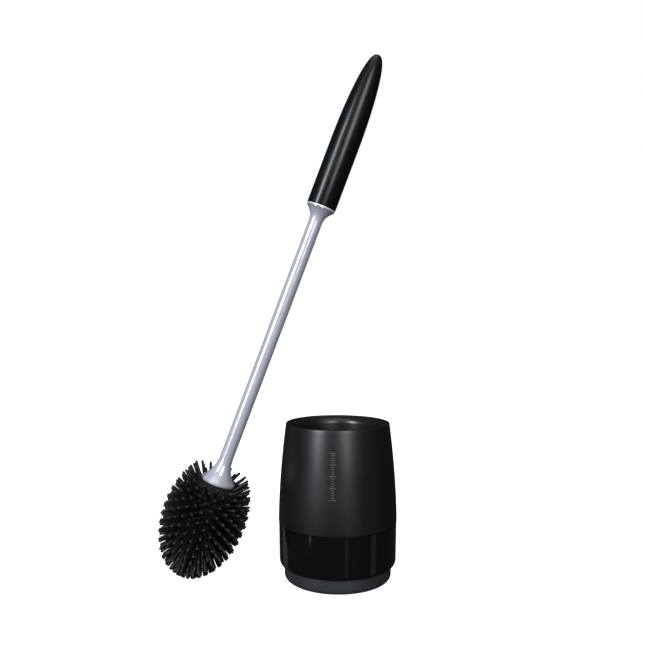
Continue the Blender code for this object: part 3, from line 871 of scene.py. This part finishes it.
brightTrim = mouldedPlastic("brightTrim", {
    "shader": {
        "Specular_IOR_Level": 0.6, "IOR": 1.6, "Metallic": 0.35, "Coat_Weight": 0.6, "Coat_Roughness": 0.08,
    },
    "deep": (0.78, 0.78, 0.80),
    "light": (0.86, 0.86, 0.88),
    "dustColor": (0.45, 0.45, 0.45),
    "grain": {"Cell_Scale": 3000.0, "Patch_Scale": 90.0},
    "marks": {"Clean_Roughness": 0.20, "Worn_Roughness": 0.34, "Smear_Scale": 80.0, "Scratch_Scale": 500.0},
    "dust": {"Amount": 0.03, "Speck_Scale": 1600.0},
    "bumpDepth": 0.00001,
    "bumpStrength": 0.05,
})

whitePlastic = mouldedPlastic("whitePlastic", {
    "shader": {"Specular_IOR_Level": 0.45, "IOR": 1.5},
    "deep": (0.50, 0.50, 0.48),
    "light": (0.60, 0.60, 0.585),
    "dustColor": (0.36, 0.34, 0.31),
    "grain": {"Cell_Scale": 2400.0, "Patch_Scale": 70.0},
    "marks": {"Clean_Roughness": 0.42, "Worn_Roughness": 0.60, "Smear_Scale": 60.0, "Scratch_Scale": 300.0},
    "dust": {"Amount": 0.10, "Speck_Scale": 900.0},
    "bumpDepth": 0.00004,
    "bumpStrength": 0.2,
})

sealRubber = mouldedPlastic("sealRubber", {
    "shader": {"Specular_IOR_Level": 0.35, "IOR": 1.5},
    "deep": (0.008, 0.008, 0.009),
    "light": (0.013, 0.013, 0.014),
    "dustColor": (0.10, 0.10, 0.10),
    "grain": {"Cell_Scale": 2600.0, "Patch_Scale": 90.0},
    "marks": {"Clean_Roughness": 0.5, "Worn_Roughness": 0.7, "Smear_Scale": 90.0, "Scratch_Scale": 300.0},
    "dust": {"Amount": 0.08, "Speck_Scale": 1200.0},
    "bumpDepth": 0.00004,
    "bumpStrength": 0.25,
})


def metalMaterial(name, settings):
    # plated or raw metal: fine turning lines, tarnish in patches
    material, tree, shader = newMaterial(name, Metallic=1.0)
    grain = placeGroup(tree, mouldGrain, -900, 0, **settings["grain"])
    marks = placeGroup(tree, handlingMarks, -900, -250, **settings["marks"])
    tone = mixColor(tree, -600, 100, grain.outputs["Tone"], settings["deep"], settings["light"])
    scuffed = mixColor(tree, -350, 150, marks.outputs["Scratches"], tone, settings["scuff"])
    tree.links.new(scuffed, shader.inputs["Base Color"])
    join(marks, "Roughness", shader, "Roughness")
    addBump(tree, shader, grain.outputs["Height"], settings["bumpDepth"], settings["bumpStrength"])
    return material


zincSteel = metalMaterial("zincSteel", {
    "deep": (0.44, 0.45, 0.46),
    "light": (0.60, 0.60, 0.61),
    "scuff": (0.70, 0.70, 0.70),
    "grain": {"Cell_Scale": 1800.0, "Patch_Scale": 220.0},
    "marks": {"Clean_Roughness": 0.26, "Worn_Roughness": 0.45, "Smear_Scale": 140.0, "Scratch_Scale": 700.0},
    "bumpDepth": 0.00002,
    "bumpStrength": 0.12,
})

castIron = metalMaterial("castIron", {
    "deep": (0.10, 0.095, 0.09),
    "light": (0.19, 0.185, 0.18),
    "scuff": (0.30, 0.29, 0.28),
    "grain": {"Cell_Scale": 1100.0, "Patch_Scale": 130.0},
    "marks": {"Clean_Roughness": 0.55, "Worn_Roughness": 0.80, "Smear_Scale": 90.0, "Scratch_Scale": 300.0},
    "bumpDepth": 0.00025,
    "bumpStrength": 0.6,
})

turnedBrass = metalMaterial("turnedBrass", {
    "deep": (0.55, 0.38, 0.15),
    "light": (0.74, 0.55, 0.25),
    "scuff": (0.84, 0.68, 0.36),
    "grain": {"Cell_Scale": 2000.0, "Patch_Scale": 260.0},
    "marks": {"Clean_Roughness": 0.24, "Worn_Roughness": 0.42, "Smear_Scale": 160.0, "Scratch_Scale": 800.0},
    "bumpDepth": 0.00002,
    "bumpStrength": 0.15,
})


gripBottom, gripTop = axialSpan("handle_grip")
trimBottom, trimTop = axialSpan("trim_ring")
shaftBottom, spigotTop = axialSpan("shaft")
sealBottom, sealTop = axialSpan("flare_seal")
coreBottom, coreTop = axialSpan("head_core")
rodBottom, rodTop = axialSpan("core_rod")
gripWide = axialRadius("handle_grip")
trimWide = axialRadius("trim_ring")
flareWide = axialRadius("shaft")
coreWide = axialRadius("head_core")
rodWide = axialRadius("core_rod")

grip = {
    "noseLength": 0.0712,
    "nosePower": 2.56,
    "noseSteps": 34,
    "stepPower": 2.2,
    "wall": 0.0023,
    "footRound": 0.0005,
}


def gripRadius(depth, wall=0.0):
    share = min(1.0, max(0.0, (depth - wall) / (grip["noseLength"] - wall)))
    return (gripWide - wall) * (1 - (1 - share) ** 2) ** (1 / grip["nosePower"])


def buildGrip():
    corners = [(0.0, gripTop, 0)]
    steps = grip["noseSteps"]
    for step in range(1, steps + 1):
        depth = grip["noseLength"] * (step / steps) ** grip["stepPower"]
        corners.append((gripRadius(depth), gripTop - depth, 0))
    wall = grip["wall"]
    corners += [
        (gripWide, gripBottom, grip["footRound"]),
        (gripWide - wall, gripBottom, 0.0002),
    ]
    for step in range(steps, 0, -1):
        depth = wall + (grip["noseLength"] - wall) * (step / steps) ** grip["stepPower"]
        corners.append((gripRadius(depth, wall), gripTop - depth, 0))
    corners.append((0.0, gripTop - wall, 0))
    piece = turnPiece("handleGrip", softOutline(corners), brushPlace, gripBlack, 128)
    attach(piece, "handle")
    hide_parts("handle_grip")


def buildTrimRing():
    bore = shaft["spigotRadius"] + barrel["gap"]
    corners = [
        (trimWide, trimTop, 0.0004),
        (trimWide, trimBottom, 0.0004),
        (bore, trimBottom, 0.0001),
        (bore, trimTop, 0.0001),
    ]
    piece = turnPiece("trimRing", softOutline(corners, 5), brushPlace, brightTrim, 128)
    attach(piece, "handle")
    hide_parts("trim_ring")


shaft = {
    "radius": 0.00513,
    "bore": 0.0032,
    "spigotRadius": 0.0065,
    "upperRadius": 0.0106,
    "upperLength": 0.0113,
    "lowerLength": 0.0193,
    "rim": 0.0018,
    "flarePower": 2.6,
    "flareSteps": 22,
    "edgeRound": 0.00012,
}


def flareRun(wide, start, length):
    points = []
    for step in range(shaft["flareSteps"] + 1):
        share = step / shaft["flareSteps"]
        radius = shaft["radius"] + (wide - shaft["radius"]) * (1 - share) ** shaft["flarePower"]
        points.append((radius, start + length * share, 0))
    return points


def buildShaft():
    top = trimBottom - barrel["gap"]
    spigot = shaft["spigotRadius"]
    corners = [(spigot, spigotTop, 0.0004), (spigot, top, 0.0002)]
    corners.append((shaft["upperRadius"], top, shaft["edgeRound"]))
    corners += flareRun(shaft["upperRadius"], top - 2 * shaft["edgeRound"], -shaft["upperLength"])
    corners += reversed(flareRun(flareWide, shaftBottom + shaft["rim"], shaft["lowerLength"]))
    corners += [
        (flareWide, shaftBottom, 0.0009),
        (shaft["bore"], shaftBottom, 0.0003),
        (shaft["bore"], spigotTop, 0.0003),
    ]
    piece = turnPiece("shaftTube", softOutline(corners, 6), brushPlace, silverLacquer, 128)
    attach(piece, "handle")
    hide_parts("shaft")


def buildSeal():
    wide = flareWide - shaft["rim"]
    bore = rodWide + barrel["gap"]
    corners = [
        (wide, sealTop, 0.0004),
        (wide, sealBottom, 0.0004),
        (bore, sealBottom, 0.0002),
        (bore, sealTop, 0.0002),
    ]
    piece = turnPiece("flareSeal", softOutline(corners, 5), brushPlace, sealRubber, 96)
    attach(piece, "seal")
    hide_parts("flare_seal")


rodThread = {
    "pitch": 0.0020,
    "depth": 0.00032,
    "stud": 0.0125,
    "around": 40,
    "rowsPerTurn": 14,
    "chamferLength": 0.0008,
    "chamferDepth": 0.0005,
}


def threadRadius(height, angle):
    # a rounded thread cut into the rod's lower end, fading out towards the plain rod
    turns = (height - rodBottom) / rodThread["pitch"] - angle / (2 * math.pi)
    crest = 0.5 + 0.5 * math.cos(2 * math.pi * turns)
    left = (rodBottom + rodThread["stud"] - height) / rodThread["pitch"]
    start = (height - rodBottom) / (0.6 * rodThread["pitch"])
    strength = max(0.0, min(1.0, left)) * min(1.0, 0.4 + start)
    return rodWide - rodThread["depth"] * strength * (1 - crest)


def buildCoreRod():
    form = bmesh.new()
    around = rodThread["around"]
    step = rodThread["pitch"] / rodThread["rowsPerTurn"]
    threadRows = int(rodThread["stud"] / step) + 2
    heights = [rodBottom + row * step for row in range(threadRows)]
    heights += [rodTop - rodThread["chamferLength"], rodTop]
    rings = []
    for row, height in enumerate(heights):
        ring = []
        for spoke in range(around):
            angle = 2 * math.pi * spoke / around
            radius = threadRadius(height, angle)
            if row == 0 or row == len(heights) - 1:
                radius -= rodThread["chamferDepth"]
            ring.append(form.verts.new((radius * math.cos(angle), radius * math.sin(angle), height)))
        rings.append(ring)
    for lower, upper in zip(rings, rings[1:]):
        for spoke in range(around):
            after = (spoke + 1) % around
            form.faces.new((lower[spoke], lower[after], upper[after], upper[spoke]))
    form.faces.new(list(reversed(rings[0])))
    form.faces.new(rings[-1])
    piece = finishMesh("coreRod", form, brushPlace, zincSteel, 50)
    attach(piece, "handle")
    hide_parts("core_rod")


buildGrip()
buildTrimRing()
buildShaft()
buildSeal()
buildCoreRod()
print("handle built")


head = {
    "tipRadius": 0.0322,
    "halfHeight": 0.0478,
    "rows": 16,
    "rings": 26,
    "lowestLatitude": -79.6,
    "ringStep": 5.30,
    "evenness": 0.0915,
    "spacingAround": 0.0042,
    "fanShare": 0.25,
    "phase": 0.90,
    "bareRings": 2,
    "bareHalfAngle": 55.0,
    "bristleRadius": 0.00110,
    "tipTaper": 0.98,
    "sway": 0.0002,
    "seed": 7,
    "sides": 8,
    "sleeveWall": 0.0030,
    "sleeveRound": 0.0060,
    "shoulder": 0.0034,
    "lip": 0.0009,
    "floorClear": 0.00005,
}


def bristleMaterial():
    # soft black rubber, with a painted highlight that turns the colour greyer towards the tips, and duller
    # (rougher) down at the roots
    material, tree, shader = newMaterial("bristleRubber", Specular_IOR_Level=0.26, IOR=1.5)
    grain = placeGroup(tree, mouldGrain, -900, 0, Cell_Scale=2600.0, Patch_Scale=120.0)
    marks = placeGroup(
        tree, handlingMarks, -900, -250,
        Clean_Roughness=0.46, Worn_Roughness=0.56, Smear_Scale=120.0, Scratch_Scale=300.0,
    )
    along = addNode(tree, "ShaderNodeAttribute", -900, 300, attribute_name="along")
    nearTip = fill(addNode(tree, "ShaderNodeMapRange", -700, 300), From_Min=0.80, From_Max=1.0)
    tone = mixColor(tree, -500, 50, grain.outputs["Tone"], (0.0042, 0.0045, 0.0056), (0.0072, 0.0076, 0.0092))
    # painted highlight: the last fifth of each bristle is mixed towards a lighter grey, standing in for light
    # on the tips
    tipHighlightPaint = mixColor(tree, -250, 150, nearTip.outputs["Result"], tone, (0.018, 0.0184, 0.0200))
    fromRoot = fill(
        addNode(tree, "ShaderNodeMapRange", -500, -350), From_Min=0.0, From_Max=0.35, To_Min=1.9, To_Max=1.0
    )
    dull = addNode(tree, "ShaderNodeMath", -250, -250, operation="MULTIPLY")
    join(along, "Fac", nearTip, "Value")
    join(along, "Fac", fromRoot, "Value")
    tree.links.new(tipHighlightPaint, shader.inputs["Base Color"])
    join(marks, "Roughness", dull, 0)
    join(fromRoot, "Result", dull, 1)
    join(dull, "Value", shader, "Roughness")
    addBump(tree, shader, grain.outputs["Height"], 0.00003, 0.12)
    return material


bristleRubber = bristleMaterial()


def mathNode(tree, operation, first, second=None, third=None, clamp=False):
    # a math node fed by sockets or plain numbers
    node = tree.nodes.new("ShaderNodeMath")
    node.operation = operation
    node.use_clamp = clamp
    for index, value in enumerate((first, second, third)):
        if value is None:
            continue
        if isinstance(value, (int, float)):
            node.inputs[index].default_value = value
        else:
            tree.links.new(value, node.inputs[index])
    return node.outputs[0]


def vectorNode(tree, operation, first, second=None, scale=None):
    node = tree.nodes.new("ShaderNodeVectorMath")
    node.operation = operation
    tree.links.new(first, node.inputs[0])
    if second is not None:
        tree.links.new(second, node.inputs[1])
    if scale is not None:
        tree.links.new(scale, node.inputs["Scale"])
    return node.outputs["Value"] if operation == "LENGTH" else node.outputs["Vector"]


def combine(tree, x, y, z):
    node = tree.nodes.new("ShaderNodeCombineXYZ")
    for index, value in enumerate((x, y, z)):
        if isinstance(value, (int, float)):
            node.inputs[index].default_value = value
        else:
            tree.links.new(value, node.inputs[index])
    return node.outputs[0]


def storeOn(tree, geometry, label, kind, value):
    # keeps a value on the geometry under a name
    node = tree.nodes.new("GeometryNodeStoreNamedAttribute")
    node.data_type = kind
    node.inputs["Name"].default_value = label
    tree.links.new(geometry, node.inputs["Geometry"])
    tree.links.new(value, node.inputs["Value"])
    return node.outputs["Geometry"]


def readBack(tree, label, kind):
    node = tree.nodes.new("GeometryNodeInputNamedAttribute")
    node.data_type = kind
    node.inputs["Name"].default_value = label
    return node.outputs["Attribute"]


def oneBristle(tree, entry):
    # a unit bristle along +Z: a flared root, a slow taper and a domed tip
    links = tree.links
    calc = partial(mathNode, tree)
    domeStart = 0.93
    line = tree.nodes.new("GeometryNodeCurvePrimitiveLine")
    line.inputs["End"].default_value = (0.0, 0.0, 1.0)
    points = tree.nodes.new("GeometryNodeResampleCurve")
    points.inputs["Count"].default_value = 9
    join(line, "Curve", points, "Curve")
    share = tree.nodes.new("GeometryNodeSplineParameter").outputs["Factor"]
    left = calc("SUBTRACT", 1.0, share)
    height = calc("SUBTRACT", 1.0, calc("MULTIPLY", left, left))
    taper = calc("SUBTRACT", 1.0, entry.outputs["Tip Taper"])
    slim = calc("SUBTRACT", 1.0, calc("MULTIPLY", taper, height))
    dome = calc("DIVIDE", calc("SUBTRACT", height, domeStart), 1 - domeStart, clamp=True)
    cap = calc("SQRT", calc("SUBTRACT", 1.02, calc("MULTIPLY", dome, dome)))
    swell = calc("MULTIPLY", calc("POWER", left, 9.0), 0.5)
    girth = calc("MULTIPLY", calc("ADD", slim, swell), cap)
    radius = tree.nodes.new("GeometryNodeSetCurveRadius")
    join(points, "Curve", radius, "Curve")
    links.new(calc("MULTIPLY", girth, entry.outputs["Bristle Radius"]), radius.inputs["Radius"])
    bunch = tree.nodes.new("GeometryNodeSetPosition")   # more points near the tip, after the radius is set
    join(radius, "Curve", bunch, "Geometry")
    links.new(combine(tree, 0.0, 0.0, height), bunch.inputs["Position"])
    circle = tree.nodes.new("GeometryNodeCurvePrimitiveCircle")
    join(entry, "Sides", circle, "Resolution")
    circle.inputs["Radius"].default_value = 1.0
    sweep = tree.nodes.new("GeometryNodeCurveToMesh")
    join(bunch, "Geometry", sweep, "Curve")
    join(circle, "Curve", sweep, "Profile Curve")
    radiusAgain = tree.nodes.new("GeometryNodeInputRadius")
    join(radiusAgain, 0, sweep, "Scale")
    sweep.inputs["Fill Caps"].default_value = True
    place = tree.nodes.new("GeometryNodeInputPosition")
    split = tree.nodes.new("ShaderNodeSeparateXYZ")
    join(place, 0, split, 0)
    return storeOn(tree, sweep.outputs["Mesh"], "along", "FLOAT", split.outputs["Z"])


def bristleTree():
    # rings of bristles on an egg-shaped envelope, each ring staggered by half a step
    tree = bpy.data.node_groups.new("bristleField", "GeometryNodeTree")
    face = tree.interface
    face.new_socket("Geometry", in_out="INPUT", socket_type="NodeSocketGeometry")
    for label, kind in (
        ("Rows", "NodeSocketInt"), ("Rings", "NodeSocketInt"), ("Sides", "NodeSocketInt"),
        ("Seed", "NodeSocketInt"), ("Tip Radius", "NodeSocketFloat"), ("Half Height", "NodeSocketFloat"),
        ("Lowest Latitude", "NodeSocketFloat"), ("Ring Step", "NodeSocketFloat"),
        ("Evenness", "NodeSocketFloat"),
        ("Spacing Around", "NodeSocketFloat"), ("Fan Share", "NodeSocketFloat"), ("Phase", "NodeSocketFloat"),
        ("Bare Rings", "NodeSocketInt"), ("Bare Half Angle", "NodeSocketFloat"),
        ("Root Radius", "NodeSocketFloat"), ("Root Floor", "NodeSocketFloat"),
        ("Bristle Radius", "NodeSocketFloat"), ("Tip Taper", "NodeSocketFloat"), ("Sway", "NodeSocketFloat"),
        ("Material", "NodeSocketMaterial"),
    ):
        face.new_socket(label, in_out="INPUT", socket_type=kind)
    face.new_socket("Geometry", in_out="OUTPUT", socket_type="NodeSocketGeometry")
    links = tree.links
    entry = tree.nodes.new("NodeGroupInput")
    leave = tree.nodes.new("NodeGroupOutput")
    given = entry.outputs
    calc = partial(mathNode, tree)
    vector = partial(vectorNode, tree)

    number = tree.nodes.new("GeometryNodeInputIndex").outputs[0]
    ring = calc("FLOOR", calc("DIVIDE", calc("ADD", number, 0.5), given["Rows"]))
    slot = calc("SUBTRACT", number, calc("MULTIPLY", ring, given["Rows"]))
    station = calc("RADIANS", calc("MULTIPLY_ADD", ring, given["Ring Step"], given["Lowest Latitude"]))
    wave = calc("SINE", calc("MULTIPLY", station, 2.0))
    latitude = calc("SUBTRACT", station, calc("MULTIPLY", wave, given["Evenness"]))
    rise = calc("SINE", latitude)
    ringRadius = calc("MULTIPLY", given["Tip Radius"], calc("COSINE", latitude))
    room = calc("DIVIDE", calc("MULTIPLY", ringRadius, 2 * math.pi), given["Spacing Around"])
    count = calc("MINIMUM", given["Rows"], calc("MAXIMUM", 5.0, calc("FLOOR", room)))
    stagger = calc("MULTIPLY", calc("MODULO", ring, 2.0), 0.5)
    step = calc("ADD", calc("ADD", slot, stagger), given["Phase"])
    angle = calc("DIVIDE", calc("MULTIPLY", step, 2 * math.pi), count)
    tipHeight = calc("MULTIPLY", given["Half Height"], rise)
    fanHeight = calc("MULTIPLY", tipHeight, given["Fan Share"])
    tip = combine(
        tree,
        calc("MULTIPLY", ringRadius, calc("COSINE", angle)),
        calc("MULTIPLY", ringRadius, calc("SINE", angle)),
        tipHeight,
    )
    origin = combine(tree, 0.0, 0.0, fanHeight)
    reach = vector("SUBTRACT", tip, origin)
    sideways = calc("DIVIDE", given["Root Radius"], calc("MAXIMUM", ringRadius, 0.0001))
    drop = calc("MAXIMUM", calc("SUBTRACT", fanHeight, tipHeight), 0.0001)
    downward = calc("DIVIDE", calc("SUBTRACT", fanHeight, given["Root Floor"]), drop)
    share = calc("MINIMUM", calc("MINIMUM", sideways, downward), 0.95)
    root = vector("ADD", origin, vector("SCALE", reach, scale=share))
    left = calc("SUBTRACT", 1.0, share)
    length = calc("MULTIPLY", vector("LENGTH", reach), left)

    cloud = tree.nodes.new("GeometryNodePoints")
    links.new(calc("MULTIPLY", given["Rows"], given["Rings"]), cloud.inputs["Count"])
    links.new(root, cloud.inputs["Position"])
    extra = calc("GREATER_THAN", slot, calc("SUBTRACT", count, 0.25))
    fullRings = calc("SUBTRACT", given["Rings"], given["Bare Rings"])
    atNeck = calc("GREATER_THAN", ring, calc("SUBTRACT", fullRings, 0.5))
    frontness = calc("MULTIPLY", calc("SINE", angle), -1.0)
    edge = calc("COSINE", calc("RADIANS", given["Bare Half Angle"]))
    bare = calc("MULTIPLY", atNeck, calc("GREATER_THAN", frontness, edge))
    aim = tree.nodes.new("FunctionNodeAlignRotationToVector")
    aim.axis = "Z"
    links.new(reach, aim.inputs["Vector"])
    turned = storeOn(tree, cloud.outputs[0], "turn", "QUATERNION", aim.outputs[0])
    sized = storeOn(tree, turned, "reach", "FLOAT", length)
    chance = tree.nodes.new("FunctionNodeRandomValue")
    chance.data_type = "FLOAT_VECTOR"
    chance.inputs["Min"].default_value = (-1.0, -1.0, -1.0)
    chance.inputs["Max"].default_value = (1.0, 1.0, 1.0)
    links.new(given["Seed"], chance.inputs["Seed"])
    swayed = storeOn(
        tree, sized, "sway", "FLOAT_VECTOR", vector("SCALE", chance.outputs[0], scale=given["Sway"])
    )
    thin = tree.nodes.new("GeometryNodeDeleteGeometry")
    thin.domain = "POINT"
    links.new(swayed, thin.inputs["Geometry"])
    links.new(calc("MAXIMUM", extra, bare), thin.inputs["Selection"])

    scatter = tree.nodes.new("GeometryNodeInstanceOnPoints")
    join(thin, 0, scatter, "Points")
    links.new(oneBristle(tree, entry), scatter.inputs["Instance"])
    links.new(readBack(tree, "turn", "QUATERNION"), scatter.inputs["Rotation"])
    links.new(combine(tree, 1.0, 1.0, readBack(tree, "reach", "FLOAT")), scatter.inputs["Scale"])
    real = tree.nodes.new("GeometryNodeRealizeInstances")
    join(scatter, "Instances", real, "Geometry")
    along = readBack(tree, "along", "FLOAT")
    sidewards = readBack(tree, "sway", "FLOAT_VECTOR")
    bend = vector("SCALE", sidewards, scale=calc("MULTIPLY", along, along))
    sway = tree.nodes.new("GeometryNodeSetPosition")
    join(real, "Geometry", sway, "Geometry")
    links.new(bend, sway.inputs["Offset"])
    smooth = tree.nodes.new("GeometryNodeSetShadeSmooth")
    join(sway, "Geometry", smooth, "Geometry")
    coat = tree.nodes.new("GeometryNodeSetMaterial")
    join(smooth, "Geometry", coat, "Geometry")
    links.new(given["Material"], coat.inputs["Material"])
    join(coat, "Geometry", leave, "Geometry")
    return tree


def growPiece(name, tree, values, place):
    # runs a node tree on an empty mesh and keeps the result as a plain mesh
    carrier = bpy.data.objects.new(name, bpy.data.meshes.new(name))
    bpy.context.scene.collection.objects.link(carrier)
    modifier = carrier.modifiers.new("grow", "NODES")
    modifier.node_group = tree
    for item in tree.interface.items_tree:
        if item.item_type == "SOCKET" and item.in_out == "INPUT" and item.name in values:
            modifier[item.identifier] = values[item.name]
    evaluated = carrier.evaluated_get(bpy.context.evaluated_depsgraph_get())
    mesh = bpy.data.meshes.new_from_object(evaluated)
    carrier.modifiers.clear()
    carrier.data = mesh
    mesh.transform(place)
    return carrier


def buildBristles():
    piece = growPiece("bristles", bristleTree(), {
        "Rows": head["rows"],
        "Rings": head["rings"],
        "Sides": head["sides"],
        "Seed": head["seed"],
        "Tip Radius": head["tipRadius"],
        "Half Height": head["halfHeight"],
        "Lowest Latitude": head["lowestLatitude"],
        "Ring Step": head["ringStep"],
        "Evenness": head["evenness"],
        "Spacing Around": head["spacingAround"],
        "Fan Share": head["fanShare"],
        "Phase": head["phase"],
        "Bare Rings": head["bareRings"],
        "Bare Half Angle": head["bareHalfAngle"],
        "Root Radius": coreWide + 0.5 * head["sleeveWall"],
        "Root Floor": coreBottom - 0.5 * head["sleeveWall"],
        "Bristle Radius": head["bristleRadius"],
        "Tip Taper": head["tipTaper"],
        "Sway": head["sway"],
        "Material": bristleRubber,
    }, brushPlace)
    mesh = piece.data
    points = np.zeros(len(mesh.vertices) * 3)
    mesh.vertices.foreach_get("co", points)
    points = points.reshape(-1, 3)
    points[:, 2] = np.maximum(points[:, 2], head["floorClear"])   # tips that meet the floor press flat on it
    mesh.vertices.foreach_set("co", points.ravel())
    mesh.update()
    print("bristle mesh:", len(mesh.polygons), "faces")
    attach(piece, "brush_head")


def buildSleeve():
    wall = head["sleeveWall"]
    wide = coreWide + wall
    clear = coreWide + barrel["gap"]
    corners = [
        (coreWide + 0.3 * wall, coreTop + head["lip"], 0.0002),   # the lip hides the joint under the seal
        (wide, coreTop - head["shoulder"], 0.0015),
        (wide, coreBottom - wall, 1.4 * (head["sleeveRound"] + wall)),
        (0.0, coreBottom - wall, 0),
        (0.0, coreBottom - barrel["gap"], 0),
        (clear, coreBottom - barrel["gap"], 1.4 * head["sleeveRound"]),
        (clear, coreTop + head["lip"], 0.0002),
    ]
    piece = turnPiece("bristleSleeve", softOutline(corners, 10), brushPlace, bristleRubber, 96)
    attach(piece, "brush_head")
    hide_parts("bristle_sleeve")


buildBristles()
buildSleeve()
print("head built")


carriedFinishes = {
    "base_weight": castIron,
    "base_screw_1": zincSteel,
    "base_screw_2": zincSteel,
    "base_screw_3": zincSteel,
    "handle_socket": whitePlastic,
    "rod_washer": zincSteel,
    "rod_nut": zincSteel,
    "threaded_insert": turnedBrass,
    "head_core": whitePlastic,
}

for node, material in carriedFinishes.items():
    mesh = frame["nodes"][node].data
    mesh.materials.clear()
    mesh.materials.append(material)
print("finishes set on", len(carriedFinishes), "carried nodes")

bpy.context.view_layer.update()
